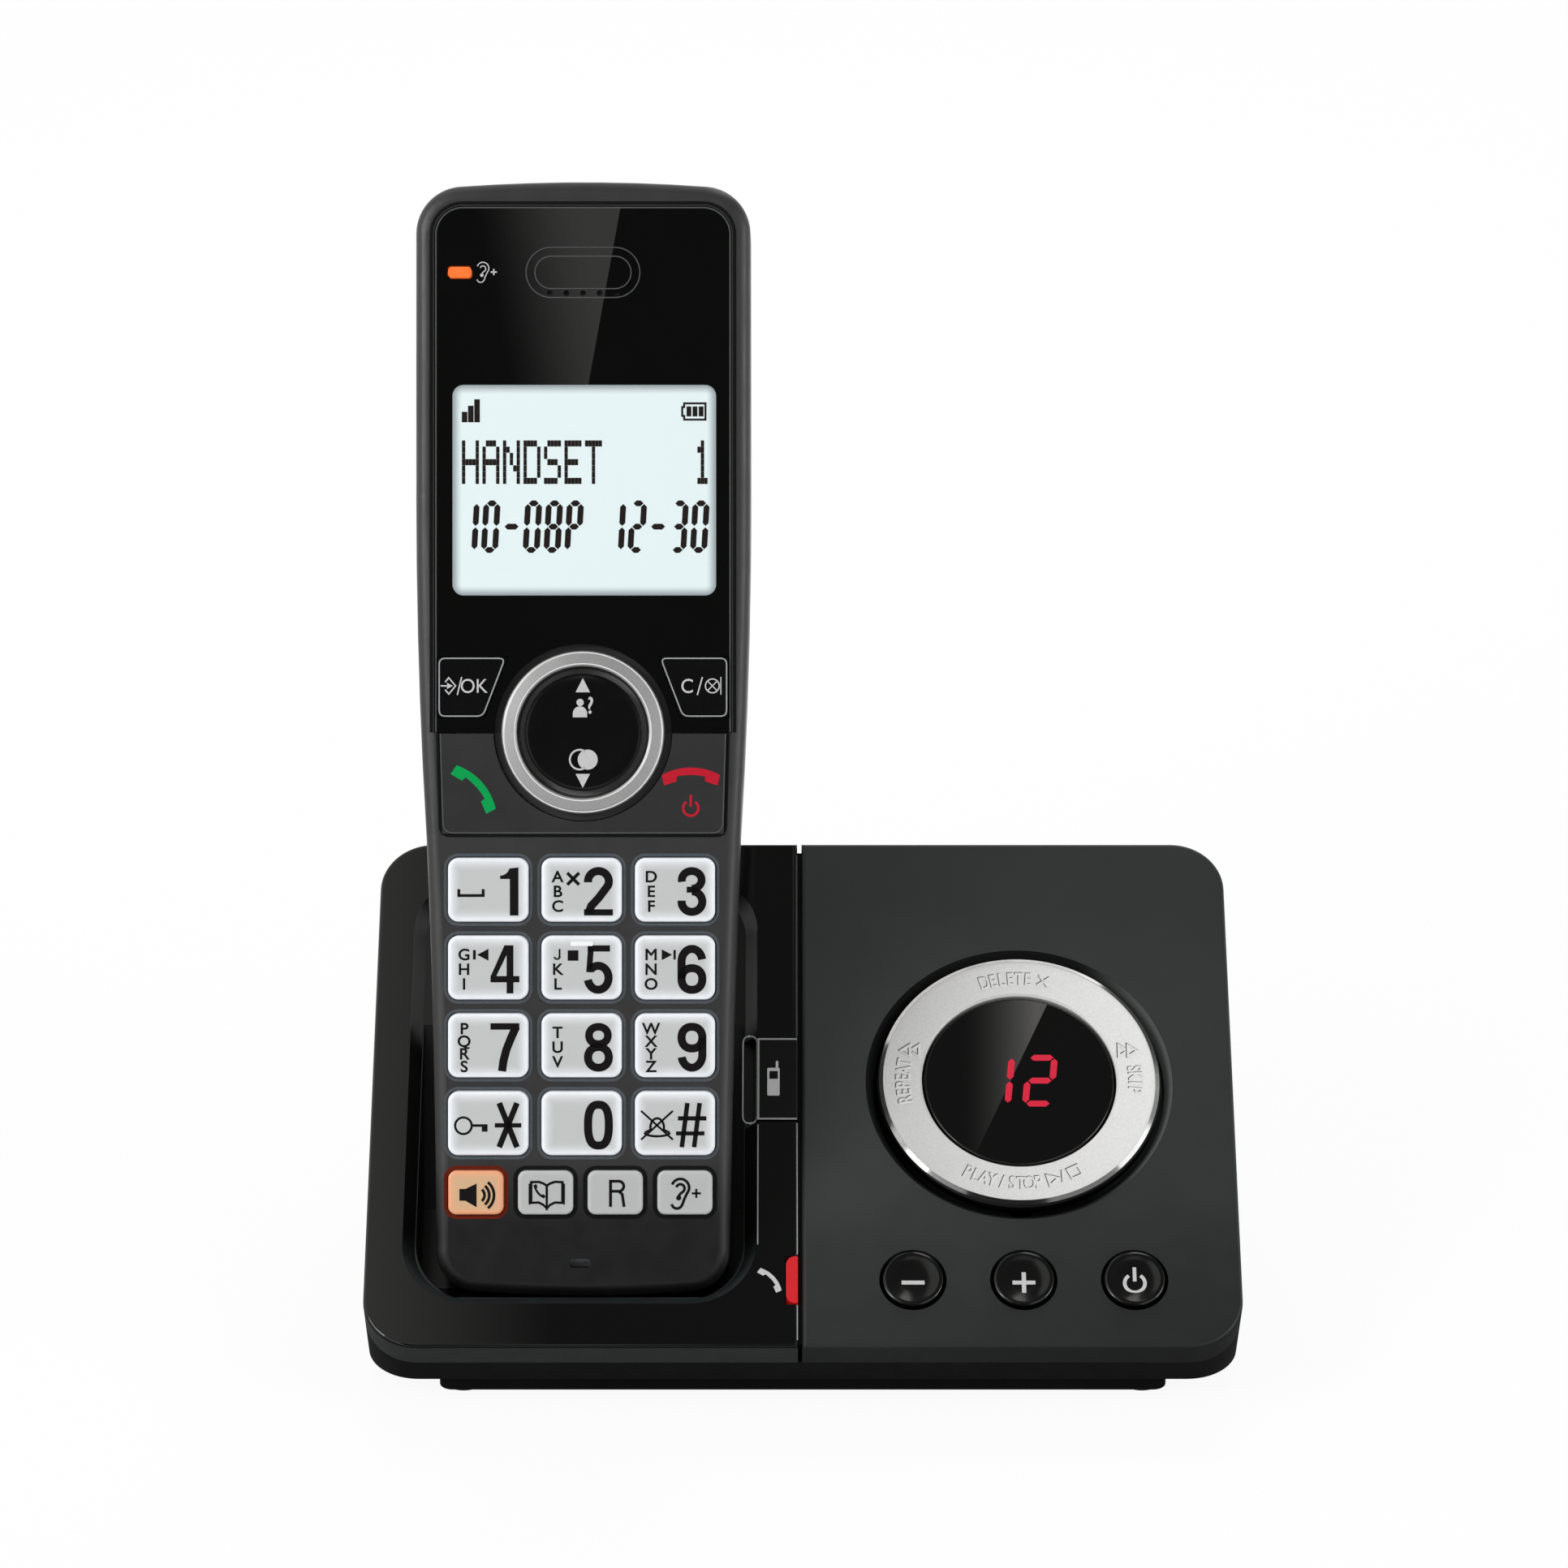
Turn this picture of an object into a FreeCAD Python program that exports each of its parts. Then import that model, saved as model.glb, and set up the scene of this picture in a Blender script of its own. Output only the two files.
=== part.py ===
import FreeCAD, Part
import math
import os
import re
import Sketcher
from FreeCAD import Vector

# Answering machine with a cordless handset standing in its cradle, in millimetres.
# +X is to the right, the front faces -Y, +Z is up and the feet stand on Z = 0.
# FaceFrame lies on the sloped face of the base: X across, Y up the slope, Z out of the face,
# with its origin at the middle of the front edge.
# HandsetFrame lies on the face of the handset: X across, Y along the handset, Z out of its face,
# with its origin at the middle of the handset's foot.

SIZES = {
    # base, outside
    "base_width": 130.0,
    "face_length": 86.8,
    "face_slope": 33.0,
    "front_edge_height": 12.4,
    "base_front_y": -46.41,
    "cover_thickness": 2.6,
    "cover_depth": 5.0,
    "cover_wall": 1.8,
    "cover_corner": 8.0,
    "cover_rim": 0.65,
    "strip_width": 6.47,
    "divider_gap": 0.65,
    # bottom housing
    "housing_wall": 1.8,
    "ledge_height": 3.6,
    "pedestal_side_inset": 10.8,
    "pedestal_front_inset": 8.0,
    "pedestal_back_inset": 4.0,
    "pedestal_corner": 2.0,
    "foot_lift": 0.4,
    "foot_radius": 3.3,
    "foot_thickness": 1.2,
    "foot_inset": 3.6,
    "foot_front_y": 11.7,
    "foot_spacing_y": 54.0,
    # cradle pocket
    "rim_side": 5.5,
    "rim_width": 52.6,
    "rim_front": 7.2,
    "rim_back": 5.7,
    "rim_corner": 10.0,
    "lip_width": 1.9,
    "lip_depth": 1.8,
    "pocket_wall": 1.6,
    "seat_gap": 0.3,
    "back_gap": 0.5,
    # ring key and number window
    "ring_offset": 0.4,
    "ring_y": 44.4,
    "ring_outer": 21.4,
    "ring_flat_outer": 20.55,
    "ring_inner": 14.7,
    "ring_rise": 1.0,
    "ring_chamfer": 0.3,
    "ring_trim_lip": 0.1,
    "ring_underside": 1.2,
    "recess_outer": 23.2,
    "recess_throat": 22.0,
    "recess_slope_depth": 1.8,
    "cup_depth": 4.1,
    "cup_floor": 1.0,
    "cup_wall": 1.2,
    "window_radius": 14.3,
    "window_rise": 0.7,
    "window_thickness": 1.2,
    "tube_outer": 13.5,
    "tube_inner": 12.0,
    "carrier_inner": 14.0,
    "carrier_outer": 16.4,
    "carrier_thickness": 1.0,
    "rock_gap": 0.9,
    "pivot_gap": 0.1,
    "pivot_radius": 0.6,
    "plunger_radius": 1.2,
    "plunger_circle": 18.8,
    "plunger_hole": 2.2,
    # round buttons, find key and in-use light
    "button_pitch": 16.4,
    "button_y": 11.1,
    "button_radius": 4.5,
    "button_well": 5.0,
    "button_rise": 0.6,
    "button_shoulder": 0.25,
    "button_flange": 5.5,
    "flange_thickness": 0.6,
    "find_width": 6.14,
    "find_margin": 0.3,
    "find_front": 37.9,
    "find_back": 52.05,
    "find_rise": 0.3,
    "notch_width": 2.33,
    "notch_depth": 2.2,
    "key_gap": 0.15,
    "light_width": 1.745,
    "light_front": 7.2,
    "light_back": 14.9,
    "light_rise": 0.25,
    # base electronics
    "board_depth": 6.9,
    "board_thickness": 1.6,
    "board_overlap": 5.07,
    "board_side": 9.0,
    "board_front": 8.0,
    "board_back": 6.2,
    "board_corner": 2.0,
    "standoff_inset": 5.0,
    "standoff_side": 4.9,
    "standoff_divider": 11.7,
    "screw_tip_gap": 0.5,
    "switch_size": 4.5,
    "switch_height": 0.8,
    "switch_cap_radius": 0.9,
    "switch_cap_height": 0.35,
    "stem_end": 4.9,
    "stem_radius": 1.3,
    "digit_module_width": 15.5,
    "digit_module_height": 12.0,
    "digit_module_top": 1.3,
    "speaker_y": 38.0,
    "speaker_radius": 18.0,
    "speaker_height": 11.0,
    "grille_hole": 0.9,
    "socket_height": 20.0,
    "line_socket_offset": 14.7,
    "line_socket_width": 12.6,
    "line_socket_tall": 12.0,
    "line_socket_deep": 15.0,
    "plug_width": 7.9,
    "plug_tall": 6.4,
    "plug_deep": 11.5,
    "latch_depth": 1.8,
    "power_socket_offset": 7.3,
    "power_socket_width": 9.4,
    "power_socket_tall": 11.0,
    "power_socket_deep": 13.0,
    "power_bore_radius": 2.85,
    "power_bore_deep": 9.5,
    "power_pin_radius": 1.0,
    # fasteners
    "post_radius": 3.2,
    "boss_radius": 2.6,
    "boss_length": 12.0,
    "screw_radius": 1.1,
    "screw_gap": 0.1,
    "screw_head_radius": 2.1,
    "screw_head_height": 1.5,
    "screw_reach": 6.0,
    "screw_web": 2.0,
    "side_post_inset": 6.0,
    "inner_post_inset": 11.57,
    "back_post_y": 65.0,
    "front_post_y": 31.0,
    # handset, outside
    "handset_offset": 0.7,
    "handset_lean": 65.0,
    "seat_distance": 8.35,
    "handset_length": 164.8,
    "head_width": 49.5,
    "shoulder_height": 118.0,
    "waist_width": 46.4,
    "waist_height": 67.4,
    "foot_width": 43.5,
    "head_bow": 1.2,
    "foot_bow": 1.1,
    "head_corner": 7.0,
    "foot_corner": 6.0,
    "front_rim": 1.9,
    "split_depth": 9.0,
    "handset_thickness": 26.0,
    "back_rim": 3.5,
    "head_thickness": 18.0,
    "heel_depth": 17.0,
    "heel_rise": 11.0,
    "back_flat_end": 108.0,
    "case_wall": 1.8,
    "face_wall": 2.4,
    # lens and display
    "lens_width": 43.7,
    "lens_margin": 3.8,
    "lens_corner": 4.1,
    "lens_inset": 0.1,
    "lens_thickness": 1.2,
    "display_x": 0.17,
    "display_margin": 28.9,
    "display_gap": 18.95,
    "display_width": 41.4,
    "display_top": 1.6,
    "earpiece_margin": 13.5,
    "earpiece_width": 16.8,
    "earpiece_tall": 7.4,
    "earpiece_groove": 1.3,
    "earpiece_groove_depth": 0.3,
    "boost_light_x": -18.2,
    "boost_light_width": 3.4,
    "boost_light_tall": 1.6,
    "boost_light_rise": 0.05,
    # navigation key, soft keys and talk plate
    "nav_recess": 13.05,
    "nav_recess_depth": 0.8,
    "trim_outer": 12.04,
    "trim_inner": 9.75,
    "trim_rise": 1.1,
    "nav_radius": 8.65,
    "nav_rise": 0.6,
    "nav_hole": 9.4,
    "soft_top": 11.1,
    "soft_bottom": 2.2,
    "soft_side": 21.4,
    "soft_inner_top": 11.2,
    "soft_inner_bottom": 14.6,
    "soft_rise": 0.35,
    "plate_top": 0.2,
    "plate_bottom": 15.0,
    "plate_half_top": 21.2,
    "plate_half_bottom": 20.8,
    "plate_rise": 0.3,
    "plate_thickness": 1.9,
    "plate_pivot": 1.5,
    # keypad
    "dial_width": 11.8,
    "dial_tall": 9.4,
    "dial_corner": 1.5,
    "dial_pitch_x": 13.8,
    "dial_x": -0.2,
    "function_width": 8.15,
    "function_tall": 6.5,
    "function_corner": 1.2,
    "function_pitch": 10.29,
    "function_x": -0.37,
    "cap_rise": 0.75,
    "cap_rim": 0.5,
    "cap_bottom": 2.7,
    "mic_x": -0.46,
    "mic_y": 4.9,
    "mic_width": 3.2,
    "mic_tall": 1.3,
    # handset electronics
    "phone_board_depth": 5.0,
    "phone_board_thickness": 1.6,
    "phone_board_width": 38.0,
    "phone_board_bottom": 3.4,
    "phone_board_margin": 5.8,
    "membrane_thickness": 1.4,
    "membrane_width": 38.0,
    "membrane_low": 4.75,
    "membrane_high": 13.9,
    "receiver_radius": 7.0,
    "ringer_radius": 10.0,
    "ringer_height": 5.0,
    "ringer_margin": 39.3,
    "mic_radius": 2.0,
    "cell_radius": 5.25,
    "cell_length": 44.5,
    "cell_tip": 1.0,
    "cell_gap": 0.25,
    "cell_apart": 1.3,
    "bay_side": 1.25,
    "bay_bottom": 17.8,
    "spring_length": 3.4,
    "end_contact": 1.9,
    "bay_wall": 1.2,
    "door_overlap": 2.8,
    "door_thickness": 1.6,
    "door_corner": 2.0,
    "spring_radius": 2.4,
    "contact_thickness": 0.4,
    "case_screw_x": 17.2,
    "case_screw_low": 7.5,
    "case_screw_margin": 23.8,
    "case_boss_radius": 2.3,
    "contact_spacing": 14.0,
    "contact_width": 3.4,
    "contact_deep": 4.0,
    "contact_depth": 13.0,
    "contact_inside": 1.2,
    # sound slots at the back of the handset
    "slot_length": 12.0,
    "slot_width": 1.2,
    "slot_pitch": 2.8,
    # how far a cutting shape reaches past what it cuts
    "cut_over": 1.0,
}

doc = FreeCAD.newDocument("AnsweringMachine")
sheet = doc.addObject("Spreadsheet::Sheet", "Sizes")
for row, (alias, number) in enumerate(SIZES.items(), start=1):
    sheet.set(f"A{row}", alias)
    sheet.set(f"B{row}", str(number))
    sheet.setAlias(f"B{row}", alias)
doc.recompute()

nodes = {}
WORLD = "placement(vector(0; 0; 0); rotation(vector(0; 0; 1); 0))"
FACE = "FaceFrame.Placement"
HANDSET = "HandsetFrame.Placement"

# Across the base, from its left side: the pocket, the strip beside it, the divider, then the panel.
RIM_LEFT = "(-base_width / 2 + rim_side)"
RIM_RIGHT = f"({RIM_LEFT} + rim_width)"
DIVIDER_X = f"({RIM_RIGHT} + strip_width)"
RING_X = f"(({DIVIDER_X} + base_width / 2) / 2 + ring_offset)"
HANDSET_X = f"(({RIM_LEFT} + {RIM_RIGHT}) / 2 + handset_offset)"
RIM_BACK = "(face_length - rim_back)"
BOARD_BACK = "(face_length - board_back)"
FIND_RIGHT = f"({DIVIDER_X} - find_margin)"
FIND_LEFT = f"({FIND_RIGHT} - find_width)"
FOOT_X = "(base_width / 2 - pedestal_side_inset - foot_inset)"

# Along the handset: the keys share out its length and the ear end hangs from its top.
NAV_Y = "(handset_length * 0.5058)"
PLATE_TOP = f"({NAV_Y} - plate_top)"
PLATE_BOTTOM = f"({NAV_Y} - plate_bottom)"
DIAL_Y = "(handset_length * 0.15545)"
DIAL_PITCH_Y = "(handset_length * 0.06975)"
FUNCTION_Y = "(handset_length * 0.09343)"
LENS_TOP = "(handset_length - lens_margin)"
DISPLAY_TALL = f"(handset_length - display_margin - {NAV_Y} - display_gap)"
DISPLAY_Y = f"((handset_length - display_margin + {NAV_Y} + display_gap) / 2)"
EARPIECE_Y = "(handset_length - earpiece_margin)"
RINGER_Y = "(handset_length - ringer_margin)"
CELL_SPACING = "(2 * cell_radius + cell_apart)"
CELL_DEPTH = "(handset_thickness - door_thickness - cell_gap - cell_radius)"
CELL_BOTTOM = "(bay_bottom + spring_length)"
BAY_WIDTH = f"({CELL_SPACING} + 2 * cell_radius + 2 * bay_side)"
BAY_DEPTH = f"({CELL_DEPTH} - cell_radius - cell_gap)"
BAY_TOP = f"({CELL_BOTTOM} + cell_length + end_contact)"
DOOR_WIDTH = f"({BAY_WIDTH} + 2 * door_overlap)"
DOOR_BOTTOM = "(bay_bottom - door_overlap)"
DOOR_TOP = f"({BAY_TOP} + door_overlap)"
MEMBRANE_TOP = "(-phone_board_depth + membrane_thickness)"

# Edges closer than this to a limit count as lying on it.
TOUCH = 0.01


def size(alias):
    """The sheet's value of one size."""
    return float(sheet.get(alias))


def link(formula):
    """A formula with each alias written as a cell of the sheet."""
    def cell(word):
        return "Sizes." + word[0] if word[0] in SIZES else word[0]
    return re.sub(r"[a-z_]+", cell, formula)


def bind(item, name, formula):
    item.setExpression(name, link(formula))


def keep(node, item):
    """Files an object as one of the real pieces."""
    item.Label = node
    nodes[node] = item
    return item


# ---------- general makers ----------

def make_frame(name, parent, x, y, z, turn):
    frame = doc.addObject("App::Placement", name)
    offset = f"placement(vector({x}; {y}; {z}); rotation(vector(1; 0; 0); {turn}))"
    bind(frame, "Placement", f"{parent} * {offset}")
    doc.recompute()
    return frame


def make_body(name, frame, x=0, y=0, z=0, turn="rotation(vector(0; 0; 1); 0)"):
    body = doc.addObject("PartDesign::Body", name)
    bind(body, "Placement", f"{frame} * placement(vector({x}; {y}; {z}); {turn})")
    return body


def add_sketch(body, role="XY_Plane", lift=None):
    """A sketch on one of the body's origin planes, moved out along its normal by lift."""
    plane = [item for item in body.Origin.OriginFeatures if item.Role == role][0]
    sketch = body.newObject("Sketcher::SketchObject", body.Name + "Sketch")
    sketch.AttachmentSupport = [(plane, "")]
    sketch.MapMode = "FlatFace"
    if lift is not None:
        bind(sketch, "AttachmentOffset.Base.z", lift)
    return sketch


def place_point(sketch, edge, point, x, y):
    """Fixes one sketch point at x, y from the sketch origin."""
    for kind, formula in (("DistanceX", x), ("DistanceY", y)):
        index = sketch.addConstraint(Sketcher.Constraint(kind, -1, 1, edge, point, 1.0))
        bind(sketch, f"Constraints[{index}]", formula)


def draw_polygon(sketch, corners):
    """A closed outline through corners given as pairs of formulas."""
    first = sketch.GeometryCount
    count = len(corners)
    turns = [2 * math.pi * i / count for i in range(count)]
    ring = [Vector(math.cos(turn), math.sin(turn), 0) for turn in turns]
    for i in range(count):
        sketch.addGeometry(Part.LineSegment(ring[i], ring[(i + 1) % count]))
    for i in range(count):
        sketch.addConstraint(Sketcher.Constraint("Coincident", first + i, 2, first + (i + 1) % count, 1))
    for i, (x, y) in enumerate(corners):
        place_point(sketch, first + i, 1, x, y)


def draw_rectangle(sketch, wide, tall):
    """A rectangle centred on the sketch origin."""
    x = f"({wide}) / 2"
    y = f"({tall}) / 2"
    draw_polygon(sketch, [(f"-{x}", f"-{y}"), (x, f"-{y}"), (x, y), (f"-{x}", y)])


def draw_circle(sketch, radius, x="0", y="0"):
    index = sketch.addGeometry(Part.Circle(Vector(0, 0, 0), Vector(0, 0, 1), 1.0))
    place_point(sketch, index, 3, x, y)
    radius_index = sketch.addConstraint(Sketcher.Constraint("Radius", index, 1.0))
    bind(sketch, f"Constraints[{radius_index}]", radius)


def pad(body, sketch, length, both_ways=False):
    feature = body.newObject("PartDesign::Pad", body.Name + "Pad")
    feature.Profile = sketch
    bind(feature, "Length", length)
    if both_ways:
        feature.Midplane = True
    doc.recompute()
    return feature


def revolve(body, sketch):
    """Turns a half outline drawn on XZ round the body's Z axis."""
    feature = body.newObject("PartDesign::Revolution", body.Name + "Turn")
    feature.Profile = sketch
    feature.ReferenceAxis = (sketch, ["V_Axis"])
    feature.Angle = 360
    doc.recompute()
    return feature


def fillet(body, wanted, radius):
    """Rounds the edges of the body's tip that wanted picks."""
    base = body.Tip
    names = [f"Edge{i}" for i, edge in enumerate(base.Shape.Edges, start=1) if wanted(edge)]
    feature = body.newObject("PartDesign::Fillet", body.Name + "Round")
    feature.Base = (base, names)
    bind(feature, "Radius", radius)
    doc.recompute()
    return feature


def is_upright(edge):
    return abs(edge.tangentAt(edge.FirstParameter).z) > 0.9


def is_on_top(body):
    top = body.Tip.Shape.BoundBox.ZMax
    return lambda edge: edge.BoundBox.ZMin > top - TOUCH


def block(name, frame, x, y, z, wide, tall, deep, corner=None, rim=None):
    """A rounded plate centred on x, y that stands from z up to z + deep."""
    body = make_body(name, frame, x, y, z)
    sketch = add_sketch(body)
    draw_rectangle(sketch, wide, tall)
    pad(body, sketch, deep)
    if corner:
        fillet(body, is_upright, corner)
    if rim:
        fillet(body, is_on_top(body), rim)
    return body


def span(name, frame, left, right, front, back, low, high, corner=None, rim=None):
    """A rounded plate between the given limits on each axis."""
    return block(name, frame, f"(({left}) + ({right})) / 2", f"(({front}) + ({back})) / 2", low,
                 f"({right}) - ({left})", f"({back}) - ({front})", f"({high}) - ({low})", corner, rim)


def disc(name, frame, x, y, low, high, radius, rim=None):
    body = make_body(name, frame, x, y, low)
    sketch = add_sketch(body)
    draw_circle(sketch, radius)
    pad(body, sketch, f"({high}) - ({low})")
    if rim:
        fillet(body, is_on_top(body), rim)
    return body


def turned(name, frame, x, y, outline):
    """A piece turned round an axis that stands at x, y: outline holds radius and height pairs."""
    body = make_body(name, frame, x, y, 0)
    sketch = add_sketch(body, "XZ_Plane")
    draw_polygon(sketch, outline)
    revolve(body, sketch)
    return body


def plate(name, frame, corners, low, high):
    """A plate with a straight-sided outline between two heights."""
    body = make_body(name, frame)
    sketch = add_sketch(body, "XY_Plane", low)
    draw_polygon(sketch, corners)
    pad(body, sketch, f"({high}) - ({low})")
    return body


def join(name, pieces):
    fused = doc.addObject("Part::MultiFuse", name)
    fused.Shapes = pieces
    fused.Refine = True
    doc.recompute()
    return fused


def cut(name, base, tools):
    tool = tools[0] if len(tools) == 1 else join(name + "Tools", tools)
    result = doc.addObject("Part::Cut", name)
    result.Base = base
    result.Tool = tool
    result.Refine = True
    doc.recompute()
    return result


def common(name, pieces):
    result = doc.addObject("Part::MultiCommon", name)
    result.Shapes = pieces
    doc.recompute()
    return result


def group(name, pieces):
    """Separate solids that share one node."""
    result = doc.addObject("Part::Compound", name)
    result.Links = pieces
    doc.recompute()
    return result


make_frame("FaceFrame", WORLD, "0", "base_front_y", "front_edge_height", "face_slope")
make_frame("HandsetFrame", FACE, HANDSET_X, "seat_distance", "0", "handset_lean - face_slope")


# ---------- base: bottom housing ----------

HOUSING_BACK = "(base_front_y + face_length * cos(face_slope) + cover_depth * sin(face_slope))"
PEDESTAL_FRONT = "(base_front_y + pedestal_front_inset)"
PEDESTAL_BACK = f"({HOUSING_BACK} - pedestal_back_inset)"
PEDESTAL_HALF = "(base_width / 2 - pedestal_side_inset)"
LINE_X = f"({RING_X} - line_socket_offset)"
POWER_X = f"({RING_X} + power_socket_offset)"
SOCKETS = (("Line", LINE_X, "line_socket_width", "line_socket_tall"),
           ("Power", POWER_X, "power_socket_width", "power_socket_tall"))


def housing_form(name, inset, floor, top):
    """The wedge under the covers: walls square to the sloped face, with an upright back wall."""
    sloped = span(name + "Sloped", FACE, f"-base_width / 2 + ({inset})", f"base_width / 2 - ({inset})",
                  f"{inset}", "3 * face_length", "-2 * face_length", top, f"cover_corner - ({inset})")
    upright = span(name + "Upright", WORLD, f"-base_width / 2 + ({inset})", f"base_width / 2 - ({inset})",
                   "base_front_y - face_length", f"{HOUSING_BACK} - ({inset})", floor, "2 * face_length",
                   f"cover_corner - ({inset})")
    return common(name, [sloped, upright])


def pedestal_form(name, inset, low, high):
    return span(name, WORLD, f"-{PEDESTAL_HALF} + ({inset})", f"{PEDESTAL_HALF} - ({inset})",
                f"{PEDESTAL_FRONT} + ({inset})", f"{PEDESTAL_BACK} - ({inset})", low, high,
                f"pedestal_corner - ({inset})")


POSTS = {
    "LeftSide": ("-base_width / 2 + side_post_inset + post_radius", "back_post_y"),
    "LeftInner": (f"{DIVIDER_X} - inner_post_inset", "back_post_y"),
    "RightBack": ("base_width / 2 - side_post_inset", "back_post_y"),
    "RightFront": ("base_width / 2 - side_post_inset", "front_post_y"),
}


def post_top(y):
    """Height at which a housing post meets the boss under the sloped cover."""
    return f"(front_edge_height + ({y}) * tan(face_slope) - boss_length)"


def make_bottom_housing():
    wedge = housing_form("HousingForm", "0", "ledge_height", "-cover_depth")
    pedestal = pedestal_form("Pedestal", "0", "foot_lift", "ledge_height + housing_wall")
    outer = join("HousingOuter", [wedge, pedestal])
    room = housing_form("HousingRoom", "housing_wall", "ledge_height + housing_wall", "0")
    step = pedestal_form("PedestalRoom", "housing_wall", "foot_lift + housing_wall",
                         "ledge_height + housing_wall + cut_over")
    shell = cut("HousingShell", cut("HousingStep", outer, [step]), [room])
    posts = []
    bores = []
    for tag, (x, y) in POSTS.items():
        world_y = f"base_front_y + ({y})"
        top = post_top(y)
        posts.append(disc("Post" + tag, WORLD, x, world_y, "foot_lift + housing_wall / 2", top,
                          "post_radius"))
        bores.append(disc("PostBore" + tag, WORLD, x, world_y, "-cut_over", f"{top} - screw_web",
                          "screw_head_radius + screw_gap"))
        bores.append(disc("PostHole" + tag, WORLD, x, world_y, "-cut_over", f"{top} + cut_over",
                          "screw_radius + screw_gap"))
    inside = common("PostsInside", [join("Posts", posts), outer])
    for side, sign in (("Left", "-"), ("Right", "")):
        for depth, offset in (("Front", "0"), ("Back", "foot_spacing_y")):
            bores.append(disc(f"FootPocket{side}{depth}", WORLD, sign + FOOT_X,
                              f"base_front_y + foot_front_y + {offset}", "-cut_over", "foot_thickness",
                              "foot_radius + screw_gap"))
    for ring, count in ((0, 1), (1, 6), (2, 12)):
        for i in range(count):
            angle = 360.0 * i / count
            away = f"{ring} * speaker_radius / 3.4"
            bores.append(disc(f"Grille{ring}_{i}", WORLD, f"{RING_X} + {away} * cos({angle})",
                              f"base_front_y + speaker_y + {away} * sin({angle})", "-cut_over",
                              "foot_lift + housing_wall + cut_over", "grille_hole"))
    for tag, x, wide, tall in SOCKETS:
        bores.append(span(tag + "Opening", WORLD, f"{x} - {wide} / 2", f"{x} + {wide} / 2",
                          f"{HOUSING_BACK} - housing_wall - cut_over", f"{HOUSING_BACK} + cut_over",
                          f"socket_height - {tall} / 2", f"socket_height + {tall} / 2"))
    return keep("base_bottom_housing", cut("BottomHousing", join("HousingPosts", [shell, inside]), bores))


def make_feet():
    feet = []
    for side, sign in (("Left", "-"), ("Right", "")):
        for depth, offset in (("Front", "0"), ("Back", "foot_spacing_y")):
            feet.append(disc(f"Foot{side}{depth}", WORLD, sign + FOOT_X,
                             f"base_front_y + foot_front_y + {offset}", "0", "foot_thickness",
                             "foot_radius"))
    return keep("base_feet", group("Feet", feet))


def screw(name, frame, x, y, seat, reach):
    """A pan-head screw whose head lies under seat and whose shank reaches up past it."""
    return turned(name, frame, x, y, [
        ("0", f"{seat} - screw_head_height"), ("screw_head_radius", f"{seat} - screw_head_height"),
        ("screw_head_radius", seat), ("screw_radius", seat), ("screw_radius", f"{seat} + {reach}"),
        ("0", f"{seat} + {reach}")])


def make_base_screws():
    screws = [screw("Screw" + tag, WORLD, x, f"base_front_y + ({y})", f"{post_top(y)} - screw_web",
                    "(screw_web + screw_reach)") for tag, (x, y) in POSTS.items()]
    return keep("base_screws", group("BaseScrews", screws))


# ---------- base: covers ----------

COVER_EDGE = f"({DIVIDER_X} - divider_gap / 2)"
PANEL_EDGE = f"({DIVIDER_X} + divider_gap / 2)"
LIGHT_LEFT = f"({COVER_EDGE} - light_width)"
POCKET_LEFT = f"({RIM_LEFT} + lip_width)"
POCKET_RIGHT = f"({RIM_RIGHT} - lip_width)"
POCKET_FRONT = "(rim_front + lip_width / 2)"
POCKET_BACK = f"({RIM_BACK} - lip_width)"


def cover_plate(name, left, right, rounded_side):
    """A cover with two rounded corners on its outer side and a small round along its rim."""
    body = plate(name, FACE, [(left, "0"), (right, "0"), (right, "face_length"), (left, "face_length")],
                 "-cover_depth", "0")
    outer = size("base_width") / 2 - TOUCH
    fillet(body, lambda edge: is_upright(edge) and edge.CenterOfMass.x * rounded_side > outer,
           "cover_corner")
    fillet(body, is_on_top(body), "cover_rim")
    room = span(name + "Room", FACE, f"{left} + cover_wall", f"{right} - cover_wall", "cover_wall",
                "face_length - cover_wall", "-cover_depth - cut_over", "-cover_thickness",
                "cover_corner - cover_wall")
    return cut(name + "Shell", body, [room])


def cover_bosses(name, tags):
    """Screw bosses that hang from a cover down to the housing posts."""
    bosses = [disc("Boss" + tag, WORLD, POSTS[tag][0], f"base_front_y + ({POSTS[tag][1]})",
                   post_top(POSTS[tag][1]), "front_edge_height + face_length", "boss_radius")
              for tag in tags]
    under = span(name + "Under", FACE, "-base_width", "base_width", "-face_length", "2 * face_length",
                 "-2 * face_length", "-cover_thickness / 2")
    solid = join(name + "Solid", bosses)
    return common(name, [solid, under])


def pilot_holes(tags):
    return [disc("Pilot" + tag, WORLD, POSTS[tag][0], f"base_front_y + ({POSTS[tag][1]})",
                 f"{post_top(POSTS[tag][1])} - cut_over",
                 f"{post_top(POSTS[tag][1])} + screw_reach + cut_over",
                 "screw_radius + screw_gap / 2") for tag in tags]


def pocket_profile(name, offset):
    """Side outline of the pocket: seat, heel and back, parallel to the standing handset."""
    body = make_body(name, HANDSET)
    sketch = add_sketch(body, "YZ_Plane")
    seat = f"-seat_gap - ({offset})"
    back = f"-handset_thickness - back_gap - ({offset})"
    heel = f"-heel_depth - back_gap - ({offset}) / 2"
    rise = f"heel_rise - ({offset}) / 2"
    draw_polygon(sketch, [(seat, "handset_thickness"), (seat, heel), (rise, back),
                          ("handset_length", back), ("handset_length", "handset_thickness")])
    pad(body, sketch, "base_width", True)
    return body


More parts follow.
